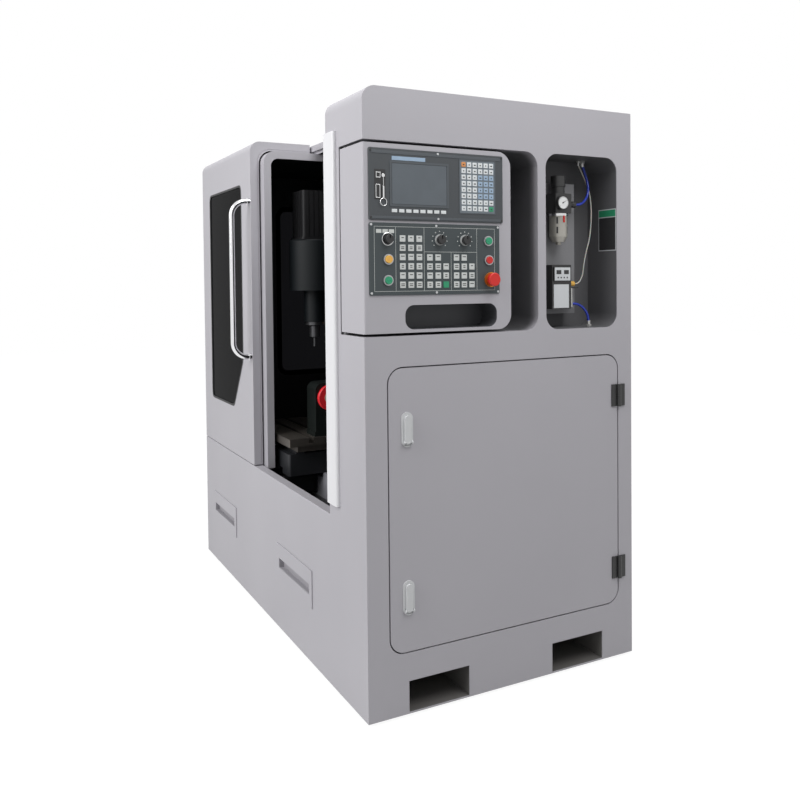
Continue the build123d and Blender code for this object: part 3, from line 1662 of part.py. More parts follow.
# Adjusting knob of the regulator
with BuildPart() as air_knob:
    with BuildSketch(level(block_top + bonnet_height + seat_gap)):
        with Locations((regulator_x, regulator_y)):
            RegularPolygon(air_knob_radius, 16)
    extrude(amount=air_knob_height)
    chamfer(air_knob.edges().group_by(Axis.Z)[-1], 1)
finish(air_knob.part, "air_knob", black_plastic)

# Pressure gauge in front of the regulator
with BuildPart() as air_gauge:
    gauge_y = regulator_y - gauge_shift
    gauge_back = regulator_x + regulator_block / 2
    with BuildSketch(side_plane(gauge_back)):
        with Locations((gauge_y, regulator_z)):
            Circle(gauge_stem_radius)
    extrude(amount=gauge_stem)
    with BuildSketch(side_plane(gauge_back + gauge_stem)):
        with Locations((gauge_y, regulator_z)):
            Circle(gauge_radius)
    extrude(amount=gauge_depth)
    with BuildSketch(side_plane(gauge_back + gauge_stem + gauge_depth)):
        with Locations((gauge_y, regulator_z)):
            Circle(gauge_radius - 2.5)
    extrude(amount=-1.5, mode=Mode.SUBTRACT)
finish(air_gauge.part, "air_gauge", black_plastic)

# Filter bowl, turned, with its drain at the bottom
with BuildPart() as filter_bowl:
    bowl_top = block_bottom
    with BuildSketch(Plane.XZ.offset(-regulator_y)):
        with BuildLine():
            Polyline(
                (regulator_x, bowl_top),
                (regulator_x + bowl_radius, bowl_top),
                (regulator_x + bowl_radius, bowl_top - bowl_length * 0.8),
                (regulator_x + bowl_radius * 0.7, bowl_top - bowl_length),
                (regulator_x + port_radius, bowl_top - bowl_length),
                (regulator_x + port_radius, bowl_top - bowl_length - port_radius),
                (regulator_x, bowl_top - bowl_length - port_radius),
                close=True,
            )
        make_face()
    revolve(axis=Axis((regulator_x, regulator_y, 0), (0, 0, 1)))
finish(filter_bowl.part, "filter_bowl", (0.55, 0.55, 0.52))

# Pressure switch with a display bezel and a side port
with BuildPart() as pressure_switch:
    with BuildSketch(side_plane(mount_face)):
        round_rect_between(
            switch_y - switch_width / 2, switch_bottom,
            switch_y + switch_width / 2, switch_bottom + switch_height, sheet,
        )
    extrude(amount=switch_depth)
    with BuildSketch(side_plane(mount_face + switch_depth)):
        with Locations((switch_y, switch_bottom + switch_height - switch_bezel * 0.65)):
            Rectangle(switch_bezel_length, switch_bezel)
    extrude(amount=switch_bezel_depth)
    with BuildSketch(front_plane(switch_y + switch_width / 2)):
        with Locations((mount_face + switch_depth / 2, switch_port_z)):
            Circle(switch_port_radius)
    extrude(amount=-port_length / 2)
    with BuildSketch(front_plane(switch_y + switch_width / 2)):
        with Locations((mount_face + switch_depth / 2, sense_z)):
            Circle(switch_port_radius / 2)
    extrude(amount=-port_length / 2)
finish(pressure_switch.part, "pressure_switch", black_plastic)


def tube_along(points, radius):
    """Round tube along straight runs joined by arcs as large as the runs allow."""
    corners = [Vector(point) for point in points]
    radii = []
    for before, here, after in zip(corners, corners[1:], corners[2:]):
        turn = radians((here - before).get_angle(after - here))
        shorter = min((here - before).length, (after - here).length)
        radii.append(0.45 * shorter / (sin(turn / 2) / cos(turn / 2)))
    with BuildLine() as route:
        FilletPolyline(*corners, radius=radii)
    line = route.wires()[0]
    with BuildSketch(Plane(origin=line @ 0, z_dir=line % 0)) as section:
        Circle(radius)
    sweep(sections=section.sketch, path=line)
    print("tube radii", [round(value, 1) for value in radii], "length", round(line.length, 1))


# Blue air tubes: the regulator's outlet up to the roof of the niche, and the switch's down to its floor
outlet_y = regulator_y + regulator_block / 2 + port_length
switch_port_x = mount_face + switch_depth / 2
switch_port_y = switch_y + switch_width / 2 + port_length / 2
with BuildPart() as air_tubes:
    tube_along(
        [
            (regulator_x, outlet_y, regulator_z),
            (regulator_x, outlet_y + 4 * tube_step, regulator_z),
            (regulator_x - tube_step, outlet_y + 7.4 * tube_step, regulator_z + 2.8 * tube_step),
            (regulator_x - 2.2 * tube_step, outlet_y + 8.8 * tube_step, regulator_z + 6.6 * tube_step),
            (regulator_x - 3.4 * tube_step, outlet_y + 8.4 * tube_step, regulator_z + 10.6 * tube_step),
            (regulator_x - 4 * tube_step, outlet_y + 7.6 * tube_step, recess_top - bulkhead_length),
        ],
        air_tube_radius,
    )
    tube_along(
        [
            (switch_port_x, switch_port_y, switch_port_z),
            (switch_port_x, switch_port_y + 3 * tube_step, switch_port_z),
            (switch_port_x + 0.4 * tube_step, switch_port_y + 5.2 * tube_step, switch_port_z - 1.4 * tube_step),
            (switch_port_x + 0.8 * tube_step, switch_port_y + 6.6 * tube_step, switch_port_z - 3.6 * tube_step),
            (switch_port_x + 0.8 * tube_step, switch_port_y + 7 * tube_step, recess_bottom + bulkhead_length),
        ],
        air_tube_radius,
    )
finish(air_tubes.part, "air_tubes", (0.15, 0.2, 0.75))

# Thin clear sensing tube from the roof of the niche to the pressure switch
with BuildPart() as sense_tube:
    tube_along(
        [
            (niche_back + 5 * tube_step, niche_far - 7.8 * tube_step, recess_top - bulkhead_length),
            (niche_back + 5.4 * tube_step, niche_far - 6 * tube_step, recess_top - 5 * tube_step),
            (niche_back + 6.2 * tube_step, niche_far - 4.2 * tube_step, recess_top - 9.6 * tube_step),
            (niche_back + 6.8 * tube_step, niche_far - 3.8 * tube_step, recess_top - 15 * tube_step),
            (niche_back + 7 * tube_step, niche_far - 4 * tube_step, recess_top - 20.5 * tube_step),
            (niche_back + 7.4 * tube_step, niche_far - 5 * tube_step, recess_top - 25.8 * tube_step),
            (niche_back + 7.6 * tube_step, niche_far - 6.8 * tube_step, recess_top - 30.8 * tube_step),
            (switch_port_x, switch_port_y + 5.7 * tube_step, sense_z + 6.4 * tube_step),
            (switch_port_x, switch_port_y + 5.1 * tube_step, sense_z + 2.4 * tube_step),
            (switch_port_x, switch_port_y + 3.4 * tube_step, sense_z),
            (switch_port_x, switch_port_y, sense_z),
        ],
        sense_tube_radius,
    )
finish(sense_tube.part, "sense_tube", (0.8, 0.8, 0.78))
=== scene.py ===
# %% [markdown]
# # A compact machining center, dressed for a picture
# The machine is already modelled: sheet metal cabin, sliding door, control box, and a small
# mill inside. This script gives every part its finish and adds the thin trim that belongs on them.
# Everything is in metres, in the same frame as the imported model, so a piece goes where its part is.

# %% Load the frame
import json
from math import cos, pi, radians, sin

import bmesh
import bpy
from mathutils import Matrix, Vector


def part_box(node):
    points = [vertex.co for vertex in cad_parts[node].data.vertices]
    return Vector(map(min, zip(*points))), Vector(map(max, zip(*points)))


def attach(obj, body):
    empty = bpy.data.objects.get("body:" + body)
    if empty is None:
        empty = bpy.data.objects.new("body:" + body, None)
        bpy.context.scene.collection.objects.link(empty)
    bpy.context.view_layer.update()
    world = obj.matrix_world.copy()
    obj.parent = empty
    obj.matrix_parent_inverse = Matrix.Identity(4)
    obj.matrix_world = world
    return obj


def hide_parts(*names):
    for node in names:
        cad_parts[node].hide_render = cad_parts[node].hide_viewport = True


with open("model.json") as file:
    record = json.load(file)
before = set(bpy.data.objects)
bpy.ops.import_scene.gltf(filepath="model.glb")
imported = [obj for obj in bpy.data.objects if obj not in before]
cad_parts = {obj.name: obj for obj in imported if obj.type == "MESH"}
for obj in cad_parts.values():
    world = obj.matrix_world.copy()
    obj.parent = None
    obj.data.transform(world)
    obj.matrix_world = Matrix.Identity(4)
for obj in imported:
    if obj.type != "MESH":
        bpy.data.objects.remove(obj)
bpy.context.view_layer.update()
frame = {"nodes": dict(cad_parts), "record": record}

nodes = frame["nodes"]

# %% [markdown]
# ## The camera
# The picture of the real machine was taken from the right front at standing height. Two points can't be
# guessed well by eye, the distance and the tilt, so the camera was fitted to the cabinet's edges, and its
# place, its three angles and its field of view are written here as numbers. A small shift keeps the
# uprights parallel, as a lens shift does on a real camera.

# %% Camera
eye = Vector((3.1075, -1.3949, 1.2564))
yaw, pitch, roll = radians(-60.748), radians(-1.525), radians(-0.490)
view_line = Vector((sin(yaw) * cos(pitch), cos(yaw) * cos(pitch), sin(pitch)))
level_right = Vector((cos(yaw), -sin(yaw), 0))
level_up = level_right.cross(view_line)
right = level_right * cos(roll) + level_up * sin(roll)
up = level_up * cos(roll) - level_right * sin(roll)
image_side, focal_pixels, sensor = 800, 860.691, 36
centre_x, centre_y = 450.9236, 303.3286
camera_data = bpy.data.cameras.new("camera")
camera_data.sensor_width = sensor
camera_data.lens = focal_pixels / image_side * sensor
camera_data.shift_x = (image_side / 2 - centre_x) / image_side
camera_data.shift_y = (centre_y - image_side / 2) / image_side
camera = bpy.data.objects.new("camera", camera_data)
bpy.context.scene.collection.objects.link(camera)
turn = Matrix((right, up, -view_line)).transposed()
camera.matrix_world = Matrix.Translation(eye) @ turn.to_4x4()
bpy.context.scene.camera = camera
print("camera lens", round(camera_data.lens, 2), "mm")

# %% [markdown]
# ## Studio
# A product picture needs light that shows form without hard shadows. One big soft lamp stands to the
# front left, so the front is the brightest side, a second fills the right side, and the world adds a low
# even level. The floor is pale, and only camera, mirror and see-through rays see it as pure white, so
# the white page costs the machine no extra light.

# %% Lamps
def soft_lamp(name, place, target, size, power):
    """Square area lamp at place that points at target."""
    data = bpy.data.lights.new(name, "AREA")
    data.shape = "SQUARE"
    data.size = size
    data.energy = power
    lamp = bpy.data.objects.new(name, data)
    bpy.context.scene.collection.objects.link(lamp)
    aim = Vector(target) - Vector(place)
    lamp.matrix_world = Matrix.Translation(place) @ aim.to_track_quat("-Z", "Y").to_matrix().to_4x4()
    return lamp


soft_lamp("front_lamp", (0.6, -4.0, 3.2), (0.1, 0, 1.0), 3.0, 165)
soft_lamp("side_lamp", (2.6, 0.3, 3.5), (0.9, 0, 1.3), 1.6, 50)
soft_lamp("top_lamp", (0.3, 0.6, 4.6), (0.2, 0, 1.0), 3.0, 68)

# %% World and floor
def add_node(material_or_world, kind, **values):
    """Adds one shader node and sets its inputs by name or its properties."""
    node = material_or_world.node_tree.nodes.new(kind)
    for key, value in values.items():
        if key in node.inputs:
            node.inputs[key].default_value = value
        else:
            setattr(node, key, value)
    return node


def calculate(owner, operation, *terms):
    """Adds one Math node. Each term is a number or the output of another node."""
    node = add_node(owner, "ShaderNodeMath", operation=operation)
    for socket, term in zip(node.inputs, terms):
        if isinstance(term, (int, float)):
            socket.default_value = term
        else:
            owner.node_tree.links.new(term, socket)
    return node.outputs[0]


def seen_directly(owner):
    """1 for rays from the camera, a mirror or a see-through surface, 0 for light that falls on things."""
    path = add_node(owner, "ShaderNodeLightPath").outputs
    seen = calculate(owner, "MAXIMUM", path["Is Camera Ray"], path["Is Glossy Ray"])
    return calculate(owner, "MAXIMUM", seen, path["Is Transmission Ray"])


fill_level, floor_grey = 0.42, 0.42
glow_level, glow_share = 1.3, 0.72
world = bpy.data.worlds.new("studio")
bpy.context.scene.world = world
world.use_nodes = True
backdrop = world.node_tree.nodes["Background"]
strength = add_node(world, "ShaderNodeMapRange")
world.node_tree.links.new(seen_directly(world), strength.inputs["Value"])
strength.inputs["To Min"].default_value = fill_level
world.node_tree.links.new(strength.outputs["Result"], backdrop.inputs["Strength"])
backdrop.inputs["Color"].default_value = (1, 1, 1, 1)

floor_mesh = bmesh.new()
bmesh.ops.create_grid(floor_mesh, x_segments=2, y_segments=2, size=14)
floor_data = bpy.data.meshes.new("floor")
floor_mesh.to_mesh(floor_data)
floor_mesh.free()
floor = bpy.data.objects.new("floor", floor_data)
bpy.context.scene.collection.objects.link(floor)
floor_paint = bpy.data.materials.new("floor_paint")
floor_paint.use_nodes = True
floor_shader = floor_paint.node_tree.nodes["Principled BSDF"]
floor_shader.inputs["Base Color"].default_value = (floor_grey, floor_grey, floor_grey, 1)
floor_shader.inputs["Roughness"].default_value = 0.9
glow = add_node(floor_paint, "ShaderNodeEmission", Strength=glow_level)
shadow_mix = add_node(floor_paint, "ShaderNodeMixShader")
share = add_node(floor_paint, "ShaderNodeMapRange")
share.inputs["To Max"].default_value = glow_share
link = floor_paint.node_tree.links.new
link(seen_directly(floor_paint), share.inputs["Value"])
link(share.outputs["Result"], shadow_mix.inputs["Fac"])
link(floor_shader.outputs[0], shadow_mix.inputs[1])
link(glow.outputs[0], shadow_mix.inputs[2])
link(shadow_mix.outputs[0], floor_paint.node_tree.nodes["Material Output"].inputs["Surface"])
floor_data.materials.append(floor_paint)
bpy.context.scene.view_settings.view_transform = "Standard"
print("world and floor ready")

# %% [markdown]
# ## Finishes
# Powder coat, cast iron paint, moulded plastic and ground metal differ in three things: how their colour
# drifts, how fine their surface is, and how they shine. One helper builds that from two noise textures
# on Object coordinates. The broad one moves the colour between two close shades and dulls the shine a
# little, the fine one lifts a bump. Object coordinates are metres here, so a scale of 1 / size gives
# patches and grain of a real size.

# %% Finish helper
def finish(name, colour, shade, roughness, patch=0.02, grain=0.001, height=0.00002, stretch=None,
           metallic=0.0, spread=0.06, **more):
    """Material whose colour and roughness drift over patches and whose surface has a fine grain."""
    made = bpy.data.materials.new(name)
    made.use_nodes = True
    shader = made.node_tree.nodes["Principled BSDF"]
    link = made.node_tree.links.new
    where = add_node(made, "ShaderNodeTexCoord").outputs["Object"]
    broad = add_node(made, "ShaderNodeTexNoise", Scale=1 / patch, Detail=3.0, Roughness=0.55)
    fine = add_node(made, "ShaderNodeTexNoise", Scale=1 / grain, Detail=2.0, Roughness=0.5)
    link(where, broad.inputs["Vector"])
    if stretch:
        mapping = add_node(made, "ShaderNodeMapping", Scale=stretch)
        link(where, mapping.inputs["Vector"])
        link(mapping.outputs["Vector"], fine.inputs["Vector"])
    else:
        link(where, fine.inputs["Vector"])
    tint = add_node(made, "ShaderNodeMix", data_type="RGBA")
    tint.inputs[6].default_value = (*colour, 1)
    tint.inputs[7].default_value = (*shade, 1)
    link(broad.outputs["Fac"], tint.inputs["Factor"])
    link(tint.outputs[2], shader.inputs["Base Color"])
    shine = add_node(made, "ShaderNodeMapRange")
    shine.inputs["To Min"].default_value = roughness - spread
    shine.inputs["To Max"].default_value = roughness + spread
    link(broad.outputs["Fac"], shine.inputs["Value"])
    link(shine.outputs["Result"], shader.inputs["Roughness"])
    bump = add_node(made, "ShaderNodeBump", Strength=1.0, Distance=height)
    link(fine.outputs["Fac"], bump.inputs["Height"])
    link(bump.outputs["Normal"], shader.inputs["Normal"])
    shader.inputs["Metallic"].default_value = metallic
    for key, value in more.items():
        shader.inputs[key.replace("_", " ")].default_value = value
    return made


def colour_link(material):
    """The link that carries the base colour, so that a second finish can be mixed over it."""
    shader = material.node_tree.nodes["Principled BSDF"]
    return shader.inputs["Base Color"].links[0]


print("finish helper ready")

# %% Cabinet paint
cabinet_paint = finish("cabinet_paint", (0.425, 0.415, 0.445), (0.395, 0.385, 0.415), 0.5, patch=0.5,
                       grain=0.0016, height=0.00005)
# Painted shade: the niche and the control recess are the cabinet's grey, drawn much darker for the shade
# inside them, and the mount box at the back of the niche is drawn a middle grey for the same shade.
liner_paint = finish("liner_paint", (0.115, 0.115, 0.122), (0.095, 0.095, 0.10), 0.55, patch=0.3,
                     grain=0.0012, height=0.00006)
mount_paint = finish("mount_paint", (0.22, 0.22, 0.23), (0.19, 0.19, 0.20), 0.55, patch=0.2, grain=0.0012,
                     height=0.00006)
frame_paint = finish("frame_paint", (0.14, 0.135, 0.13), (0.11, 0.105, 0.10), 0.6, patch=0.2, grain=0.003,
                     height=0.0001)
profile_paint = finish("profile_paint", (0.70, 0.70, 0.72), (0.67, 0.67, 0.69), 0.3, patch=0.6, grain=0.003)
print(cabinet_paint.name, liner_paint.name, mount_paint.name, frame_paint.name, profile_paint.name)

# %% [markdown]
# ## Two-tone sheets
# The cabin is pale outside and dark inside, but each wall is a single folded sheet. Splitting it would
# change the model, so the paint looks at where a point lies: on one side of a plane in the middle of
# the sheet it is the outer colour, and past it the dark lining. A comparison node on one Object
# coordinate does that. For the folded shell the comparison is with the distance from the bend's axis.
# The control recess has a softer mask, because its wall is painted shade: dark deep inside,
# turning pale towards the mouth.

# %% Paint that changes across a sheet
lining = (0.022, 0.023, 0.026)


def repaint(name, base, factor_of, colour):
    """Copy of a finish in which a mask, made from Object coordinates, turns the colour to another."""
    made = base.copy()
    made.name = name
    tree = made.node_tree
    outer = colour_link(made)
    source = outer.from_socket
    tree.links.remove(outer)
    where = add_node(made, "ShaderNodeTexCoord").outputs["Object"]
    mix = add_node(made, "ShaderNodeMix", data_type="RGBA")
    mix.inputs[7].default_value = (*colour, 1)
    tree.links.new(factor_of(made, where), mix.inputs["Factor"])
    tree.links.new(source, mix.inputs[6])
    tree.links.new(mix.outputs[2], tree.nodes["Principled BSDF"].inputs["Base Color"])
    return made


def coordinate(made, where, axis):
    """One of the three Object coordinates."""
    apart = add_node(made, "ShaderNodeSeparateXYZ")
    made.node_tree.links.new(where, apart.inputs[0])
    return apart.outputs[axis]


def beyond(axis, plane, above):
    """Mask that is 1 on one side of a plane across an axis."""
    def mask(made, where):
        along = coordinate(made, where, axis)
        return calculate(made, "GREATER_THAN" if above else "LESS_THAN", along, plane)
    return mask


def within(low, high):
    """Mask that is 1 inside a box between two corners."""
    def mask(made, where):
        factor = 1.0
        for axis, bottom, top in zip("XYZ", low, high):
            for plane, above in ((bottom, True), (top, False)):
                side = beyond(axis, plane, above)(made, where)
                factor = calculate(made, "MULTIPLY", factor, side)
        return factor
    return mask


def within_bend(flange_x, middle_y, middle_z, reach):
    """Mask that is 1 behind a sheet which bends from the front to the top, up to a flange."""
    def mask(made, where):
        squares = []
        for axis, middle, turn in (("Y", middle_y, -1), ("Z", middle_z, 1)):
            along = coordinate(made, where, axis)
            past = calculate(made, "MULTIPLY_ADD", along, turn, -turn * middle)
            squares.append(calculate(made, "POWER", calculate(made, "MAXIMUM", past, 0.0), 2.0))
        inside = calculate(made, "LESS_THAN", calculate(made, "ADD", *squares), reach * reach)
        return calculate(made, "MULTIPLY", inside, beyond("X", flange_x, False)(made, where))
    return mask


def near(centre, reach):
    """Mask that is 1 within a distance of a point."""
    def mask(made, where):
        away = add_node(made, "ShaderNodeVectorMath", operation="DISTANCE")
        away.inputs[1].default_value = centre
        made.node_tree.links.new(where, away.inputs[0])
        return calculate(made, "LESS_THAN", away.outputs["Value"], reach)
    return mask


def between(axis, start, end):
    """Mask that rises from 0 to 1 between two planes across an axis."""
    def mask(made, where):
        rise = add_node(made, "ShaderNodeMapRange", interpolation_type="SMOOTHSTEP")
        rise.inputs["From Min"].default_value = start
        rise.inputs["From Max"].default_value = end
        made.node_tree.links.new(coordinate(made, where, axis), rise.inputs["Value"])
        return rise.outputs["Result"]
    return mask


rear_low, rear_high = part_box("rear_panel")
left_low, left_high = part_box("left_wall")
part_low, part_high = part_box("partition_wall")
shell_low, shell_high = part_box("cabin_shell")
rear_paint = repaint("rear_paint", cabinet_paint, beyond("Y", (rear_low.y + rear_high.y) / 2, False), lining)
left_paint = repaint("left_paint", cabinet_paint, beyond("X", (left_low.x + left_high.x) / 2, True), lining)
partition_paint = repaint("partition_paint", cabinet_paint,
                          beyond("X", (part_low.x + part_high.x) / 2, False), lining)
sheet, shell_bend = 0.003, 0.046
shell_paint = repaint("shell_paint", cabinet_paint,
                      within_bend(shell_high.x - sheet - 0.0001, shell_low.y + shell_bend,
                                  shell_high.z - shell_bend, shell_bend - sheet / 2), lining)
# Painted shade: the grip pocket in the control box is drawn dark inside, where shade falls.
pocket_shade_paint = repaint("pocket_shade_paint", cabinet_paint,
                       within((0.815, -0.3135, 1.1165), (0.9085, -0.0045, 1.1875)), (0.07, 0.072, 0.08))
# Painted shade in the control recess: dark deep inside, paler towards the mouth.
recess_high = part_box("control_recess")[1]
recess_shade_paint = repaint("recess_shade_paint", liner_paint, between("X", recess_high.x - 0.05, recess_high.x - 0.002),
                       (0.33, 0.32, 0.345))
print("two-tone sheets:", rear_paint.name, left_paint.name, partition_paint.name, shell_paint.name)

# %% [markdown]
# ## Metals
# Chrome is a mirror, and only small changes in roughness keep it from looking like glass. Ground steel
# shows the direction in which it was ground: its grain is a noise stretched along one axis. The cast
# parts are painted, with a coarser skin than sheet metal has.

# %% Metals and castings
chrome = finish("chrome", (0.80, 0.80, 0.81), (0.74, 0.74, 0.76), 0.16, patch=0.08, grain=0.002,
                height=0.00001, metallic=1.0, spread=0.05)
ground_steel = finish("ground_steel", (0.15, 0.135, 0.12), (0.10, 0.09, 0.08), 0.44, patch=0.08,
                      grain=0.004, height=0.00004, stretch=(1, 14, 14), metallic=0.8)
turned_steel = finish("turned_steel", (0.10, 0.10, 0.105), (0.06, 0.06, 0.065), 0.34, patch=0.05,
                      grain=0.004, stretch=(1, 1, 18), metallic=0.7)
zinc_steel = finish("zinc_steel", (0.55, 0.55, 0.54), (0.42, 0.42, 0.41), 0.42, patch=0.03, grain=0.003,
                    height=0.00006, metallic=0.9)
pan_steel = finish("pan_steel", (0.16, 0.16, 0.17), (0.11, 0.11, 0.12), 0.5, patch=0.15, grain=0.004,
                   height=0.00004, stretch=(1, 10, 10), metallic=0.6)
bed_paint = finish("bed_paint", (0.34, 0.34, 0.37), (0.28, 0.28, 0.31), 0.5, patch=0.2, grain=0.004,
                   height=0.0002)
casting_paint = finish("casting_paint", (0.014, 0.015, 0.018), (0.010, 0.011, 0.013), 0.5, patch=0.2,
                       grain=0.004, height=0.0002)
head_paint = finish("head_paint", (0.005, 0.0065, 0.008), (0.0035, 0.005, 0.006), 0.5, patch=0.2,
                    grain=0.004, height=0.00018, Specular_IOR_Level=0.2)
motor_black = finish("motor_black", (0.009, 0.009, 0.010), (0.014, 0.014, 0.015), 0.48, patch=0.05,
                     grain=0.002, height=0.00008, Specular_IOR_Level=0.2)
rotary_paint = finish("rotary_paint", (0.004, 0.006, 0.0055), (0.006, 0.0085, 0.0075), 0.5, patch=0.06,
                      grain=0.003, height=0.0001, Specular_IOR_Level=0.25)
hinge_black = finish("hinge_black", (0.014, 0.014, 0.015), (0.022, 0.022, 0.022), 0.42, grain=0.0015,
                     height=0.00008)
latch_paint = finish("latch_paint", (0.60, 0.61, 0.62), (0.55, 0.56, 0.57), 0.32, patch=0.03, grain=0.0012,
                     height=0.00003)
print("metals and castings:", len(bpy.data.materials), "materials so far")

# %% [markdown]
# ## Plastics, panes and tubes
# The operator units have a dark moulded front with a fine grain. Button caps are glossier and a little
# translucent. The windows are smoked sheets: a see-through shader with a dark colour, which light
# crosses twice, so the inside of the cabin stays dim, as it does in the real machine. Their index of
# refraction is close to air's, because the door is seen at a flat angle, where a true pane would mirror
# the white studio.

# %% Plastics and panes
unit_plastic = finish("unit_plastic", (0.040, 0.052, 0.056), (0.034, 0.044, 0.048), 0.5, patch=0.1,
                      grain=0.0009, height=0.00005)
display_plastic = finish("display_plastic", (0.050, 0.056, 0.062), (0.042, 0.048, 0.054), 0.5, patch=0.1,
                         grain=0.0009, height=0.00005)
screen_glass = finish("screen_glass", (0.085, 0.105, 0.125), (0.06, 0.075, 0.09), 0.16, patch=0.06,
                      grain=0.03, height=0.00012, spread=0.06, Coat_Weight=0.6, Coat_Roughness=0.05)
knob_black = finish("knob_black", (0.012, 0.012, 0.013), (0.02, 0.02, 0.021), 0.38, patch=0.01,
                    height=0.00003)
cap_yellow = finish("cap_yellow", (0.82, 0.47, 0.09), (0.76, 0.41, 0.07), 0.28, patch=0.01,
                    Subsurface_Weight=0.2, Subsurface_Scale=0.002)
cap_green = finish("cap_green", (0.02, 0.32, 0.16), (0.015, 0.27, 0.13), 0.28, patch=0.01,
                   Subsurface_Weight=0.2, Subsurface_Scale=0.002)
cap_red = finish("cap_red", (0.62, 0.02, 0.015), (0.52, 0.015, 0.012), 0.28, patch=0.01,
                 Subsurface_Weight=0.2, Subsurface_Scale=0.002)
stop_red = finish("stop_red", (0.66, 0.022, 0.014), (0.58, 0.016, 0.012), 0.34, height=0.00004)
rotary_red = finish("rotary_red", (0.84, 0.022, 0.034), (0.76, 0.018, 0.028), 0.36, patch=0.04, grain=0.002,
                    height=0.00005)
air_black = finish("air_black", (0.016, 0.016, 0.017), (0.026, 0.026, 0.026), 0.4, height=0.00005)
bowl_metal = finish("bowl_metal", (0.42, 0.405, 0.365), (0.36, 0.345, 0.31), 0.36, patch=0.03, grain=0.003,
                    height=0.00004, metallic=0.3)
blue_tube = finish("blue_tube", (0.02, 0.045, 0.42), (0.015, 0.035, 0.34), 0.3, patch=0.05, grain=0.002)
clear_tube = finish("clear_tube", (0.55, 0.54, 0.50), (0.48, 0.47, 0.43), 0.3, patch=0.05, grain=0.002,
                    Subsurface_Weight=0.3, Subsurface_Scale=0.002)
electrics_plastic = finish("electrics_plastic", (0.34, 0.34, 0.32), (0.24, 0.25, 0.26), 0.5, patch=0.12,
                           grain=0.002, height=0.00008)
smoked_pane = finish("smoked_pane", (0.012, 0.012, 0.014), (0.009, 0.009, 0.010), 0.09, patch=0.3,
                     grain=0.4, spread=0.03, Transmission_Weight=0.7, IOR=1.035)
print("plastics and panes:", len(bpy.data.materials), "materials so far")

# %% Finishes of parts in two colours
ring_metal = finish("ring_metal", (0.46, 0.46, 0.47), (0.40, 0.40, 0.41), 0.3, height=0.00003, metallic=0.7)
ring_paint = repaint("ring_paint", ring_metal, near((0.914, -0.029, 1.258), 0.03), (0.72, 0.24, 0.035))
dial_knob = repaint("dial_knob", knob_black, beyond("X", 0.9176, False), (0.42, 0.43, 0.43))
hub_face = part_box("rotary_faceplate")[1].x - 0.0039
hub_paint = repaint("hub_paint", rotary_red, beyond("X", hub_face, True), (0.42, 0.45, 0.34))
print("two-colour parts:", ring_paint.name, dial_knob.name, hub_paint.name)

# %% [markdown]
# ## Dressing the carried parts
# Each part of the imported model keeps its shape. Its triangles are loose, so a curved face would shade
# as facets. For every part with curves a copy is welded and smoothed up to a limit angle, and stands for
# the part. A large flat next to a small rounding is cut into long thin triangles, and plain smoothing
# bends the light across them, so the copy's normals are weighted by the area of whole flats. The flat
# parts only get their material.

# %% Assign finishes
finishes = {
    cabinet_paint: ["front_panel", "side_panel", "cabinet_roof", "rear_roof_cover", "sliding_door",
                    "electrical_door", "chip_drawer_left", "chip_drawer_right"],
    pocket_shade_paint: ["control_box"],
    frame_paint: ["base_frame"],
    liner_paint: ["niche_box"],
    recess_shade_paint: ["control_recess"],
    mount_paint: ["air_mount_box"],
    rear_paint: ["rear_panel"],
    left_paint: ["left_wall"],
    partition_paint: ["partition_wall"],
    shell_paint: ["cabin_shell"],
    profile_paint: ["strike_profile"],
    chrome: ["door_handle"],
    ground_steel: ["table"],
    turned_steel: ["spindle"],
    zinc_steel: ["levelling_feet"],
    pan_steel: ["splash_pan"],
    bed_paint: ["machine_bed"],
    casting_paint: ["column", "saddle"],
    head_paint: ["spindle_head"],
    motor_black: ["axis_servos", "x_servo", "spindle_motor"],
    rotary_paint: ["rotary_unit"],
    hub_paint: ["rotary_faceplate"],
    hinge_black: ["fixed_hinge_leaves", "door_hinge_leaves"],
    latch_paint: ["latch_bases", "latch_lever_upper", "latch_lever_lower"],
    unit_plastic: ["operator_panel"],
    display_plastic: ["display_unit"],
    screen_glass: ["display_screen"],
    knob_black: ["selector_knob"],
    dial_knob: ["feed_knob", "speed_knob"],
    cap_yellow: ["yellow_button"],
    cap_green: ["green_button_left", "green_button_right"],
    cap_red: ["red_button"],
    stop_red: ["estop_button"],
    ring_paint: ["button_bezels"],
    air_black: ["air_regulator", "air_knob", "pressure_switch", "air_gauge"],
    bowl_metal: ["filter_bowl"],
    blue_tube: ["air_tubes"],
    clear_tube: ["sense_tube"],
    electrics_plastic: ["cabinet_electrics"],
    smoked_pane: ["door_window", "left_window"],
    unit_plastic.copy(): ["panel_keys"],
}
for material, names in finishes.items():
    for name in names:
        node = nodes[name]
        node.data.materials.clear()
        node.data.materials.append(material)
bare = sorted(set(nodes) - {name for names in finishes.values() for name in names})
print("nodes without a finish:", bare)

# %% Smooth copies of the curved parts
bodies_of = {node: body for body, members in frame["record"]["behaviour"]["bodies"].items()
             for node in members}


def settle_normals(piece):
    """Lets the large flat faces set the shading, so that roundings don't bend it across them."""
    weighted = piece.modifiers.new("settled", "WEIGHTED_NORMAL")
    weighted.mode = "FACE_AREA"
    weighted.keep_sharp = True
    return piece


def flats_of(shape):
    """Numbers the flats of a mesh: for each face the flat it lies in, and the area of each flat."""
    flat_of, areas = {}, []
    for first in shape.faces:
        if first in flat_of:
            continue
        flat_of[first] = len(areas)
        waiting, area = [first], 0.0
        while waiting:
            face = waiting.pop()
            area += face.calc_area()
            for other in {o for edge in face.edges for o in edge.link_faces}:
                if other not in flat_of and face.normal.dot(other.normal) > 0.99999:
                    flat_of[other] = len(areas)
                    waiting.append(other)
        areas.append(area)
    return flat_of, areas


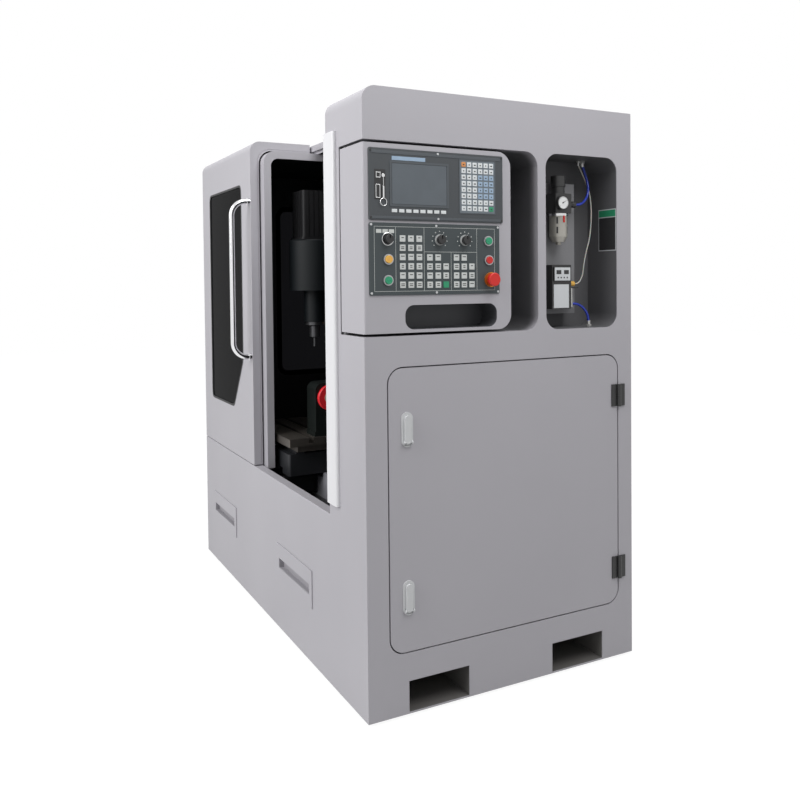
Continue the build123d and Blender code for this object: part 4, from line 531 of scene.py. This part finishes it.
def corner_normals(shape, limit):
    """Normal at each corner of each face, from the faces round it that meet smoothly.

    Each counts with the area of its whole flat, not of its own triangle, so a flat stays flat.
    """
    shape.normal_update()
    flat_of, areas = flats_of(shape)
    normals = {}
    for vert in shape.verts:
        left = set(vert.link_faces)
        while left:
            waiting, fan = [left.pop()], []
            while waiting:
                face = waiting.pop()
                fan.append(face)
                for edge in vert.link_edges:
                    if face in edge.link_faces and edge.calc_face_angle(pi) < limit:
                        joined = left.intersection(edge.link_faces)
                        left -= joined
                        waiting.extend(joined)
            flats = {flat_of[face]: face.normal for face in fan}
            normal = sum((face_normal * areas[flat] for flat, face_normal in flats.items()), Vector())
            for face in fan:
                normals[vert, face] = normal.normalized()
    return [normals[loop.vert, face] for face in shape.faces for loop in face.loops]


def smooth_copy(name, limit=28):
    """A welded copy of a part, smooth up to the limit angle, which stands for the part."""
    weld = bmesh.new()
    weld.from_mesh(nodes[name].data)
    bmesh.ops.remove_doubles(weld, verts=weld.verts, dist=0.00001)
    normals = corner_normals(weld, radians(limit))
    data = bpy.data.meshes.new(name + "_smooth")
    weld.to_mesh(data)
    weld.free()
    data.materials.append(nodes[name].data.materials[0])
    data.shade_smooth()
    data.set_sharp_from_angle(angle=radians(limit))
    data.normals_split_custom_set(normals)
    piece = bpy.data.objects.new(name + "_smooth", data)
    bpy.context.scene.collection.objects.link(piece)
    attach(piece, bodies_of[name])
    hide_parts(name)
    return piece


curved = ["front_panel", "side_panel", "cabinet_roof", "cabin_shell", "sliding_door", "door_handle",
          "strike_profile", "control_box", "control_recess", "niche_box", "electrical_door",
          "estop_button", "selector_knob", "feed_knob", "speed_knob", "yellow_button",
          "green_button_left", "green_button_right", "red_button", "button_bezels", "air_regulator",
          "air_knob", "air_gauge", "filter_bowl", "air_tubes", "sense_tube", "latch_bases",
          "latch_lever_upper", "latch_lever_lower", "fixed_hinge_leaves", "door_hinge_leaves",
          "spindle_head", "spindle", "column", "rotary_unit", "rotary_faceplate", "levelling_feet",
          "axis_servos", "x_servo", "spindle_motor"]
for name in curved:
    smooth_copy(name)
print("smooth copies:", len(curved))

# %% [markdown]
# ## Keys
# The two units carry about a hundred small keys. Each is a low pad with soft edges and a dark mark.
# They could be one long array, but the groups differ in size and colour, so a helper makes one
# bevelled block per place and joins a group into one mesh.

# %% Piece helper
def add_piece(name, shape, material, body, limit=30):
    """Turns a bmesh into an object that rides on a body."""
    bmesh.ops.recalc_face_normals(shape, faces=shape.faces)
    data = bpy.data.meshes.new(name)
    shape.to_mesh(data)
    shape.free()
    data.materials.append(material)
    data.shade_smooth()
    data.set_sharp_from_angle(angle=radians(limit))
    piece = bpy.data.objects.new(name, data)
    bpy.context.scene.collection.objects.link(piece)
    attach(piece, body)
    return settle_normals(piece)


def add_block(shape, low, high, rounding=0.0, segments=2):
    """Adds a block between two corners to a bmesh, with its edges rounded."""
    low, high = Vector(low), Vector(high)
    size = high - low
    place = Matrix.Translation((low + high) / 2) @ Matrix.Diagonal((*size, 1))
    made = bmesh.ops.create_cube(shape, size=1, matrix=place)["verts"]
    if rounding:
        edges = {edge for vert in made for edge in vert.link_edges}
        bmesh.ops.bevel(shape, geom=list(edges), offset=rounding, segments=segments,
                        affect="EDGES", profile=0.5, material=-1)
    return shape


def bars(low, high, width):
    """The four bars of a flat rectangular frame between two corners: below, above, left and right."""
    return (((low[0], low[1]), (high[0], low[1] + width)),
            ((low[0], high[1] - width), (high[0], high[1])),
            ((low[0], low[1] + width), (low[0] + width, high[1] - width)),
            ((high[0] - width, low[1] + width), (high[0], high[1] - width)))


front_y = -0.440
panel_x = 0.914


def on_panel(from_corner, height):
    """Place on the control box face from the distance to the front corner and the height, in mm."""
    return front_y + from_corner / 1000, height / 1000


print("piece helpers ready")

# %% Key finishes
key_pale = finish("key_pale", (0.62, 0.64, 0.63), (0.56, 0.58, 0.57), 0.45, height=0.00003)
key_white = finish("key_white", (0.72, 0.75, 0.76), (0.66, 0.69, 0.70), 0.4, patch=0.03, height=0.00003)
key_green = finish("key_green", (0.03, 0.30, 0.15), (0.02, 0.25, 0.12), 0.4, height=0.00003)
key_blue = finish("key_blue", (0.34, 0.45, 0.58), (0.29, 0.40, 0.53), 0.4, height=0.00003)
key_orange = finish("key_orange", (0.70, 0.30, 0.10), (0.62, 0.25, 0.08), 0.4, height=0.00003)
mark_dark = finish("mark_dark", (0.02, 0.02, 0.022), (0.03, 0.03, 0.032), 0.5, height=0.00001)


def key_group(name, places, size, height, material, body="control"):
    """One mesh of equal keys, each a low block with rounded edges."""
    shape = bmesh.new()
    for across, up_to in places:
        y, z = on_panel(across, up_to)
        half = Vector((0, size[0] / 2000, size[1] / 2000))
        add_block(shape, Vector((panel_x, y, z)) - half,
                  Vector((panel_x + height / 1000, y, z)) + half, 0.0007, 2)
    return add_piece(name, shape, material, body)


left_rows = [1376 - 26.2 * row for row in range(6)]
low_rows = [1323 - 26.2 * row for row in range(4)]
big_keys = [(column, row) for column in (118, 144.5, 171) for row in left_rows]
big_keys += [(column, row) for column in (205, 232, 258, 293, 319, 345) for row in low_rows]
start_key = [(258, low_rows[3])]
no_key = [(258, low_rows[0]), (345, low_rows[0])]
plain_keys = [place for place in big_keys if place not in start_key + no_key]
machine_keys = key_group("machine_keys", plain_keys, (18, 18), 2.0, key_pale)
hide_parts("panel_keys")
key_group("start_key", start_key, (18, 18), 2.0, key_green)
small = [(367 + 19 * (column - 2.5), 1532 + 18.4 * (row - 3.5), column, row)
         for column in range(6) for row in range(8)]
orange_key, green_key = (0, 7), (5, 0)
groups = {"white_keys": [], "blue_keys": [], "orange_key": [], "enter_key": []}
for across, up_to, column, row in small:
    if (column, row) == orange_key:
        group = "orange_key"
    elif (column, row) == green_key:
        group = "enter_key"
    elif column >= 3 and 2 <= row <= 5:
        group = "blue_keys"
    else:
        group = "white_keys"
    groups[group].append((across, up_to))
for group, paint in (("white_keys", key_white), ("blue_keys", key_blue), ("orange_key", key_orange),
                     ("enter_key", key_green)):
    key_group(group, groups[group], (14.4, 14.0), 1.5, paint)
soft = [(94 + 22.5 * key, 1454) for key in range(8)]
key_group("soft_keys", soft, (16.5, 9.5), 1.5, key_white)
print("keys:", len(plain_keys) + 1 + len(small) + len(soft))

# %% Plain marks on the keys
marks = bmesh.new()
for count, (across, up_to) in enumerate(plain_keys):
    y, z = on_panel(across, up_to)
    wide = 0.0038 + 0.0010 * (count % 3)
    for step in range(1 + count % 2):
        level = z + 0.0026 - 0.0050 * step
        add_block(marks, (panel_x + 0.002, y - wide, level - 0.0012),
                  (panel_x + 0.0021, y + wide, level + 0.0012))
for count, (across, up_to, column, row) in enumerate(small):
    y, z = on_panel(across, up_to)
    wide = 0.0018 + 0.0008 * (count % 3)
    add_block(marks, (panel_x + 0.0015, y - wide, z - 0.0022), (panel_x + 0.0016, y + wide, z + 0.0012))
add_piece("key_marks", marks, mark_dark, "control")
print("marks on keys")

# %% [markdown]
# ## Lines and frames on the units
# The operator panel is divided by fine white lines, and the keypad has a raised frame. Painted lines
# would need a picture, so each line is a thin strip, a fraction of a millimetre proud of the panel.

# %% White lines, frames and screws
line_white = finish("line_white", (0.62, 0.64, 0.62), (0.56, 0.58, 0.56), 0.5, patch=0.05, height=0.00001)
frame_grey = finish("frame_grey", (0.075, 0.085, 0.095), (0.06, 0.07, 0.08), 0.45, patch=0.05,
                    height=0.00003)


def add_line(shape, start, end, width=0.9, proud=0.15):
    """Thin raised strip between two places of the panel, level or upright."""
    y0, z0 = on_panel(min(start[0], end[0]) - width / 2, min(start[1], end[1]) - width / 2)
    y1, z1 = on_panel(max(start[0], end[0]) + width / 2, max(start[1], end[1]) + width / 2)
    add_block(shape, (panel_x, y0, z0), (panel_x + proud / 1000, y1, z1))


lines = bmesh.new()
add_line(lines, (31, 1409), (425, 1409))
add_line(lines, (31, 1227), (425, 1227))
for across, low, high in ((31, 1227, 1409), (425, 1227, 1409), (97, 1227, 1409), (187, 1227, 1409),
                          (363, 1227, 1409), (275.5, 1227, 1339)):
    add_line(lines, (across, low), (across, high))
add_line(lines, (187, 1339), (363, 1339))
add_piece("panel_lines", lines, line_white, "control")


def add_frame(shape, low, high, width, proud):
    """Raised rectangular frame on the panel, given by its outer corners in mm."""
    for bottom, top in bars(low, high, width):
        y0, z0 = on_panel(*bottom)
        y1, z1 = on_panel(*top)
        add_block(shape, (panel_x, y0, z0), (panel_x + proud / 1000, y1, z1))


frames = bmesh.new()
add_frame(frames, (304, 1452), (430, 1612), 3, 1.2)
add_frame(frames, (80, 1466), (269, 1594), 6, 1.4)
add_piece("unit_frames", frames, frame_grey, "control")


def add_disc(shape, place, radius, x_low, x_high, segments=24, rounding=0.0):
    """Short round disc that stands out along X."""
    middle = Vector(((x_low + x_high) / 2, place[0], place[1]))
    matrix = Matrix.Translation(middle) @ Matrix.Rotation(pi / 2, 4, "Y")
    made = bmesh.ops.create_cone(shape, cap_ends=True, segments=segments, radius1=radius,
                                 radius2=radius, depth=x_high - x_low, matrix=matrix)["verts"]
    if rounding:
        rim = {edge for vert in made for edge in vert.link_edges
               if all(v.co.x > x_high - 1e-6 for v in edge.verts)}
        bmesh.ops.bevel(shape, geom=list(rim), offset=rounding, segments=2, affect="EDGES",
                        profile=0.5, material=-1)


screws = bmesh.new()
black_screws = bmesh.new()
for across, height in ((22, 1434), (22, 1621), (450, 1434), (450, 1621)):
    add_disc(black_screws, on_panel(across, height), 0.0034, panel_x, panel_x + 0.0014, 16, 0.0005)
for across, height in ((234, 1434), (234, 1621), (22, 1222), (227, 1222), (437, 1222), (22, 1414),
                       (227, 1414), (437, 1414)):
    add_disc(screws, on_panel(across, height), 0.0034, panel_x, panel_x + 0.0014, 16, 0.0005)
add_piece("unit_screws", screws, latch_paint, "control")
add_piece("unit_black_screws", black_screws, hinge_black, "control")
backing = bmesh.new()
y0, z0 = on_panel(307, 1455)
y1, z1 = on_panel(427, 1609)
add_block(backing, (panel_x, y0, z0), (panel_x + 0.0003, y1, z1))
backing_paint = finish("backing_paint", (0.16, 0.19, 0.215), (0.14, 0.165, 0.19), 0.45, patch=0.05,
                       height=0.00003)
add_piece("key_backing", backing, backing_paint, "control")
print("lines, frames and screws on the units")

# %% [markdown]
# ## Pointer marks and dial scales
# A rotary switch needs a pointer, and its place shows plain ticks around it. The pointers ride on the
# knobs, so they turn with them, and the ticks stay on the panel.

# %% Dials
dials = {"selector": (72, 1374), "feed": (238, 1374), "speed": (322, 1374)}
dot_circle = 0.0245
dots = bmesh.new()
for body in ("feed", "speed"):
    y, z = on_panel(*dials[body])
    for step in range(9):
        angle = radians(-130 + 260 * step / 8)
        spot = (y - dot_circle * sin(angle), z + dot_circle * cos(angle))
        add_disc(dots, spot, 0.0016, panel_x, panel_x + 0.0002, 12)
add_piece("dial_dots", dots, line_white, "control")
strips = bmesh.new()
for cell in range(3):
    y, z = on_panel(45 + 19.5 * cell, 1396)
    add_block(strips, (panel_x, y - 0.0082, z - 0.0052), (panel_x + 0.0003, y + 0.0082, z + 0.0052))
add_piece("bare_strips", strips, line_white, "control")
for body, place in dials.items():
    y, z = on_panel(*place)
    knob_low, knob_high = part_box({"selector": "selector_knob", "feed": "feed_knob",
                                  "speed": "speed_knob"}[body])
    reach = (knob_high.z - knob_low.z) / 2
    mark = bmesh.new()
    add_block(mark, (knob_high.x - 0.0004, y - 0.0014, z + 0.1 * reach),
              (knob_high.x, y + 0.0014, z + 0.92 * reach))
    add_piece(body + "_mark", mark, key_white, body)
print("dial ticks and pointers")

# %% [markdown]
# ## Rubber seals
# A black rubber profile closes the gap round each pane, and another runs along the door's end. The real
# ones are extruded and pressed on, so the shape here starts from the pane's outline: one face with its
# corners bevelled, inset by the rubber's width and extruded by its height.

# %% Pane seals
rubber = finish("rubber", (0.012, 0.012, 0.013), (0.02, 0.02, 0.021), 0.6, patch=0.05, grain=0.0008,
                height=0.00006)


def outline_ring(corners, rounding, width, thickness, shift):
    """Flat ring that follows an outline with rounded corners, thickened along a direction."""
    shape = bmesh.new()
    face = shape.faces.new([shape.verts.new(corner) for corner in corners])
    bmesh.ops.bevel(shape, geom=list(face.verts), offset=rounding, segments=8, affect="VERTICES",
                    profile=0.5, material=-1)
    shape.faces.ensure_lookup_table()
    inner = [max(shape.faces, key=lambda f: f.calc_area())]
    bmesh.ops.inset_region(shape, faces=inner, thickness=width, use_even_offset=True,
                           use_boundary=True)
    bmesh.ops.delete(shape, geom=inner, context="FACES_ONLY")
    ring = list(shape.faces)
    grown = bmesh.ops.extrude_face_region(shape, geom=ring)["geom"]
    bmesh.ops.translate(shape, verts=[g for g in grown if isinstance(g, bmesh.types.BMVert)],
                        vec=Vector(shift) * thickness)
    return shape


window_left, window_right, window_y = -0.813, -0.301, -0.4406
window_foot, window_top = 0.740, 1.645
window_corners = [(window_left, window_y, window_foot), (window_left, window_y, window_top),
                  (window_right, window_y, window_top), (window_right, window_y, 0.941),
                  (window_right - 0.145, window_y, window_foot)]
seal = outline_ring(window_corners, 0.03, 0.008, 0.0042, (0, 1, 0))
add_piece("door_window_seal", seal, rubber, "door")
side_x = -0.93995
side_corners = [(side_x, -0.08, 0.817), (side_x, 0.33, 0.817), (side_x, 0.33, 1.603),
                (side_x, -0.08, 1.603)]
seal = outline_ring(side_corners, 0.035, 0.008, 0.003, (1, 0, 0))
add_piece("side_window_seal", seal, rubber, "cabin")
print("pane seals")

# %% Door end seal
seal_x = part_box("sliding_door")[1].x
seal_bend, seal_proud, seal_depth = 0.05, 0.0008, 0.011
section = bmesh.new()
foot, elbow, tail = [section.verts.new((seal_x, y, z))
                     for y, z in ((-0.412, 0.552), (-0.412, 1.772), (-0.205, 1.772))]
section.edges.new((foot, elbow))
section.edges.new((elbow, tail))
bmesh.ops.bevel(section, geom=[elbow], offset=seal_bend, segments=8, affect="VERTICES", profile=0.5,
                material=-1)
strip = bmesh.ops.extrude_edge_only(section, edges=list(section.edges))["geom"]
for vert in [g for g in strip if isinstance(g, bmesh.types.BMVert)]:
    vert.co.x += seal_proud
bmesh.ops.solidify(section, geom=list(section.faces), thickness=seal_depth)
add_piece("door_end_seal", section, rubber, "door")
print("door end seal")

# %% [markdown]
# ## The ports beside the screen
# Left of the screen is a small black field with two sockets, a lock, and a key that hangs from it on a
# ring. The ring is a small circle spun round an axis with spin, whose last step is merged with its
# first, so that the loop has no seam.

# %% Ports, lock and ring
port_black = finish("port_black", (0.010, 0.010, 0.011), (0.018, 0.018, 0.019), 0.45, height=0.00004)
bright_metal = finish("bright_metal", (0.72, 0.72, 0.72), (0.62, 0.62, 0.63), 0.22, patch=0.01,
                      height=0.00001, metallic=1.0)


def on_unit(shape, low, high, x_low, x_high, rounding=0.0):
    """Block on the face of the control units between two places in mm, from x_low to x_high proud."""
    y0, z0 = on_panel(*low)
    y1, z1 = on_panel(*high)
    add_block(shape, (panel_x + x_low, y0, z0), (panel_x + x_high, y1, z1), rounding)


def add_ring(shape, centre, axis, radius, wire, steps=28):
    """Closed ring of round wire about an axis."""
    axis = Vector(axis).normalized()
    side = axis.orthogonal().normalized()
    middle = Vector(centre) + side * radius
    across = Matrix((side, axis, side.cross(axis))).transposed().to_4x4()
    circle = bmesh.ops.create_circle(shape, segments=8, radius=wire,
                                     matrix=Matrix.Translation(middle) @ across)["verts"]
    edges = list({edge for vert in circle for edge in vert.link_edges})
    bmesh.ops.spin(shape, geom=circle + edges, cent=centre, axis=axis, dvec=(0, 0, 0), angle=2 * pi,
                   steps=steps, use_merge=True, use_duplicate=False)


ports = bmesh.new()
on_unit(ports, (33, 1484), (67, 1568), 0, 0.0006, 0.0002)
on_unit(ports, (40, 1548), (48, 1556), 0.0006, 0.0016)
on_unit(ports, (39, 1493), (47, 1521), 0.0006, 0.0018)
add_piece("port_field", ports, port_black, "control")
sockets = bmesh.new()
for low, high in (((37, 1544), (51, 1560)), ((36, 1488), (50, 1526))):
    for start, end in bars(low, high, 2):
        on_unit(sockets, start, end, 0.0006, 0.0026, 0.0003)
add_disc(sockets, on_panel(59, 1551), 0.0052, panel_x + 0.0006, panel_x + 0.0036, 20, 0.0006)
on_unit(sockets, (58.2, 1519), (59.8, 1551), 0.0036, 0.0044, 0.0002)
on_unit(sockets, (56.6, 1488), (61.4, 1521), 0.0030, 0.0052, 0.0006)
key_y, key_z = on_panel(59, 1477)
add_ring(sockets, (panel_x + 0.0042, key_y, key_z), (1, 0.15, 0), 0.0105, 0.0009)
add_piece("port_sockets", sockets, bright_metal, "control")
selector_y, selector_z = on_panel(*dials["selector"])
collar = bmesh.new()
add_ring(collar, (panel_x + 0.0012, selector_y, selector_z), (1, 0, 0), 0.0172, 0.0016, 36)
add_piece("selector_ring", collar, bright_metal, "control")
print("ports, lock and rings")

# %% Screen strip and ridges of the display unit
strip = bmesh.new()
on_unit(strip, (87, 1596), (193, 1607), 0, 0.0004, 0.0001)
add_piece("screen_strip", strip, key_blue, "control")
ridges = bmesh.new()
on_unit(ridges, (24, 1612.5), (448, 1621), 0, 0.0011, 0.0004)
on_unit(ridges, (24, 1431), (448, 1438), 0, 0.0011, 0.0004)
add_piece("unit_ridges", ridges, frame_grey, "control")
print("strip and ridges")

# %% [markdown]
# ## Dressing the niche
# The air unit is the busiest spot of the machine: a gauge with a white dial, a filter in a metal guard
# with two slots, a pressure switch with a pale face, and brass, steel and blue tube ends. Everything
# turned is a cone or a disc about its own axis, and everything flat is a bevelled block.

# %% Gauge dial
dial_white = finish("dial_white", (0.78, 0.79, 0.79), (0.72, 0.73, 0.73), 0.3, patch=0.01, height=0.00001)
gauge_low, gauge_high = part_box("air_gauge")
gauge_y, gauge_z = (gauge_low.y + gauge_high.y) / 2, (gauge_low.z + gauge_high.z) / 2
face_x = gauge_high.x - 0.0015
dial = bmesh.new()
add_disc(dial, (gauge_y, gauge_z), 0.0192, face_x, face_x + 0.0003, 40)
add_piece("gauge_dial", dial, dial_white, "cabin")
scale = bmesh.new()
for step in range(21):
    angle = radians(-135 + 270 * step / 20)
    long_tick = step % 5 == 0
    spot = Matrix.Translation((face_x + 0.0004, gauge_y, gauge_z)) @ Matrix.Rotation(angle, 4, "X")
    spot = spot @ Matrix.Translation((0, 0, 0.0165 if long_tick else 0.0172))
    spot = spot @ Matrix.Diagonal((0.0002, 0.0007, 0.0040 if long_tick else 0.0024, 1))
    bmesh.ops.create_cube(scale, size=1, matrix=spot)
needle = Matrix.Translation((face_x + 0.0007, gauge_y, gauge_z)) @ Matrix.Rotation(radians(-62), 4, "X")
bmesh.ops.create_cone(scale, cap_ends=True, segments=6, radius1=0.0011, radius2=0.0002, depth=0.020,
                      matrix=needle @ Matrix.Translation((0, 0, 0.0055)))
add_disc(scale, (gauge_y, gauge_z), 0.0022, face_x + 0.0003, face_x + 0.0011, 16, 0.0003)
add_piece("gauge_scale", scale, mark_dark, "cabin")
rim = bmesh.new()
add_ring(rim, (gauge_high.x - 0.0010, gauge_y, gauge_z), (1, 0, 0), 0.0203, 0.0009, 40)
add_piece("gauge_rim", rim, bright_metal, "cabin")
print("gauge dial at", round(gauge_y, 3), round(gauge_z, 3))

# %% Filter guard: collar, slots and lock tab
bowl_low, bowl_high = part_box("filter_bowl")
bowl_x, bowl_y = (bowl_low.x + bowl_high.x) / 2, (bowl_low.y + bowl_high.y) / 2
bowl_reach = (bowl_high.x - bowl_low.x) / 2


def around_bowl(shape, angle, low, high, width, proud, rounding=0.0):
    """Upright block on the guard, at an angle from the right, between two heights."""
    blank = bmesh.new()
    add_block(blank, (bowl_reach - 0.0008, -width / 2, low), (bowl_reach + proud, width / 2, high), rounding)
    bmesh.ops.transform(blank, verts=blank.verts, matrix=Matrix.Translation((bowl_x, bowl_y, 0))
                        @ Matrix.Rotation(radians(angle), 4, "Z"))
    joined = bpy.data.meshes.new("blank")
    blank.to_mesh(joined)
    blank.free()
    shape.from_mesh(joined)
    bpy.data.meshes.remove(joined)


collar = bmesh.new()
bmesh.ops.create_cone(collar, cap_ends=True, segments=40, radius1=bowl_reach + 0.0016,
                      radius2=bowl_reach + 0.0016, depth=0.009,
                      matrix=Matrix.Translation((bowl_x, bowl_y, bowl_high.z - 0.0046)))
bmesh.ops.bevel(collar, geom=[e for e in collar.edges if e.calc_face_angle(0) > 1], offset=0.0008,
                segments=2, affect="EDGES", profile=0.5, material=-1)
add_piece("guard_collar", collar, bright_metal, "cabin")
slots = bmesh.new()
for low, high in ((bowl_low.z + 0.067, bowl_low.z + 0.088), (bowl_low.z + 0.036, bowl_low.z + 0.057)):
    for angle in (-42, 48, 138, 228):
        around_bowl(slots, angle, low, high, 0.0055, 0.0003, 0.0001)
add_piece("guard_slots", slots, port_black, "cabin")
tab = bmesh.new()
around_bowl(tab, 2, bowl_high.z - 0.030, bowl_high.z - 0.008, 0.007, 0.0022, 0.0008)
add_piece("lock_tab", tab, cap_red, "cabin")
print("filter guard dressed")

# %% Pressure switch face and bare label plate
switch_low, switch_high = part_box("pressure_switch")
switch_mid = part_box("air_mount_box")[1].x + 0.040
face_middle = (switch_low.y + 0.038, switch_high.z - 0.0299)
plate_white = finish("plate_white", (0.66, 0.68, 0.70), (0.60, 0.62, 0.64), 0.4, patch=0.03)


def on_switch(shape, across, up_to, width, height, low, high, rounding=0.0):
    """Block on the switch face about a place given from the middle of its bezel, in metres."""
    y, z = face_middle[0] + across, face_middle[1] + up_to
    add_block(shape, (low, y - width / 2, z - height / 2), (high, y + width / 2, z + height / 2), rounding)


plates = bmesh.new()
on_switch(plates, 0, 0, 0.062, 0.042, switch_high.x, switch_high.x + 0.0010, 0.0004)
on_switch(plates, -0.002, -0.0715, 0.060, 0.076, switch_mid, switch_mid + 0.0005, 0.0001)
add_piece("switch_plates", plates, plate_white, "cabin")
details = bmesh.new()
for across in (-0.015, 0.015):
    on_switch(details, across, 0.006, 0.019, 0.013, switch_high.x + 0.0010, switch_high.x + 0.0013)
for across in (-0.018, -0.006, 0.006, 0.018):
    y, z = face_middle[0] + across, face_middle[1] - 0.0115
    add_disc(details, (y, z), 0.0026, switch_high.x + 0.0010, switch_high.x + 0.0018, 14, 0.0004)
add_piece("switch_windows", details, mark_dark, "cabin")
print("switch dressed")

# %% Fittings of the tubes
brass = finish("brass", (0.72, 0.42, 0.08), (0.64, 0.36, 0.06), 0.35, patch=0.01)
niche_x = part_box("air_mount_box")[0].x
switch_end = switch_low.y + 0.076


def add_tube_nut(shape, place, axis, radius, length, segments):
    """Nut or sleeve that starts at a place and runs along an axis."""
    axis = Vector(axis)
    middle = Vector(place) + axis * length / 2
    matrix = Matrix.Translation(middle) @ axis.to_track_quat("Z", "Y").to_matrix().to_4x4()
    made = bmesh.ops.create_cone(shape, cap_ends=True, segments=segments, radius1=radius, radius2=radius,
                                 depth=length, matrix=matrix)["verts"]
    rims = {e for v in made for e in v.link_edges if e.calc_face_angle(0) > 1.2}
    bmesh.ops.bevel(shape, geom=list(rims), offset=radius * 0.1, segments=2, affect="EDGES",
                    profile=0.5, material=-1)


blue_top = (niche_x + 0.051, 0.399, 1.650)
clear_top = (niche_x + 0.050, 0.383, 1.650)
blue_foot = (niche_x + 0.086, 0.396, 1.100)
rise_foot = (niche_x + 0.078, switch_end + 0.013, 1.166)
upwards, downwards = (0, 0, 1), (0, 0, -1)
nuts = bmesh.new()
for place, axis, radius, length, segments in (
        (blue_top, downwards, 0.0095, 0.008, 6), (blue_top, downwards, 0.0068, 0.020, 20),
        (clear_top, downwards, 0.0060, 0.006, 6), (clear_top, downwards, 0.0038, 0.016, 16),
        (blue_foot, upwards, 0.0095, 0.008, 6), (blue_foot, upwards, 0.0068, 0.020, 20),
        (rise_foot, upwards, 0.0062, 0.062, 20)):
    add_tube_nut(nuts, place, axis, radius, length, segments)
add_piece("tube_nuts", nuts, zinc_steel, "cabin")
amber = bmesh.new()
add_tube_nut(amber, (niche_x + 0.078, switch_end + 0.001, 1.242), (0, 1, 0), 0.0085, 0.024, 20)
add_piece("amber_fitting", amber, brass, "cabin")
lever = bmesh.new()
add_block(lever, (niche_x + 0.072, switch_end + 0.006, 1.227),
          (niche_x + 0.084, switch_end + 0.040, 1.232), 0.001)
add_tube_nut(lever, (niche_x + 0.091, 0.323, 1.500), (0, 1, 0), 0.0105, 0.014, 20)
add_piece("valve_lever", lever, air_black, "cabin")
print("fittings placed")

# %% Bare plate on the niche wall
wall_y = 0.461
plate_back, plate_front, field_front = wall_y - 0.0001, wall_y - 0.0008, wall_y - 0.0011
field_left, field_right = niche_x + 0.063, 0.9035
for name, low, high, rounding, paint, slot in (
        ("plate_border", (niche_x + 0.060, plate_front, 1.350), (0.9060, plate_back, 1.488), 0.0002,
         plate_white, "key_plastic"),
        ("plate_field", (field_left, field_front, 1.353), (field_right, plate_front, 1.460), 0,
         mark_dark, "knob_black"),
        ("plate_head", (field_left, field_front, 1.463), (field_right, plate_front, 1.485), 0,
         key_green, "cap_green")):
    plate = bmesh.new()
    add_block(plate, low, high, rounding)
    add_piece(name, plate, paint, "cabin")
print("bare plate on the niche wall")

# %% [markdown]
# ## The last small parts
# Behind the slot of each chip drawer is a shallow pocket that the fingers reach into. It rides on the
# drawer, and its darker grey is painted shade of the slot. Beside the spindle an orange coolant nozzle
# hangs from a black arm and rides on the head.

# %% Grip pockets and coolant nozzle
# Painted shade: the grip pockets are the drawer's grey drawn darker, for the shade in the slot.
pull_shade_paint = finish("pull_shade_paint", (0.33, 0.32, 0.345), (0.30, 0.29, 0.315), 0.5, patch=0.3, grain=0.0016,
                    height=0.00005)
slot_inset, mouth, back, pull_sheet = 0.0235, -0.4400, -0.4260, 0.0012
for side in ("left", "right"):
    drawer_low, drawer_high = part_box("chip_drawer_" + side)
    left, right_end = drawer_low.x + slot_inset, drawer_high.x - slot_inset
    foot, head = drawer_low.z + 0.0395, drawer_low.z + 0.0755
    grip = bmesh.new()
    add_block(grip, (left, back, foot), (right_end, back + pull_sheet, head))
    for start, end in bars((left, foot), (right_end, head), pull_sheet):
        add_block(grip, (start[0], mouth, start[1]), (end[0], back, end[1]))
    add_piece("grip_pocket_" + side, grip, pull_shade_paint, "drawer_" + side)
spindle_low, spindle_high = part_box("spindle")
spindle_x, spindle_y = (spindle_low.x + spindle_high.x) / 2, (spindle_low.y + spindle_high.y) / 2
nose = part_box("spindle_head")[0].z
arm = bmesh.new()
add_block(arm, (spindle_x - 0.008, spindle_y + 0.030, nose + 0.004),
          (spindle_x + 0.008, spindle_y + 0.062, nose + 0.016), 0.001)
add_piece("nozzle_arm", arm, air_black, "head")
tip = bmesh.new()
bmesh.ops.create_cone(tip, cap_ends=True, segments=24, radius1=0.0035, radius2=0.009, depth=0.034,
                      matrix=Matrix.Translation((spindle_x, spindle_y + 0.054, nose - 0.013)))
add_piece("nozzle_tip", tip, key_orange, "head")
print("grip pockets and nozzle")
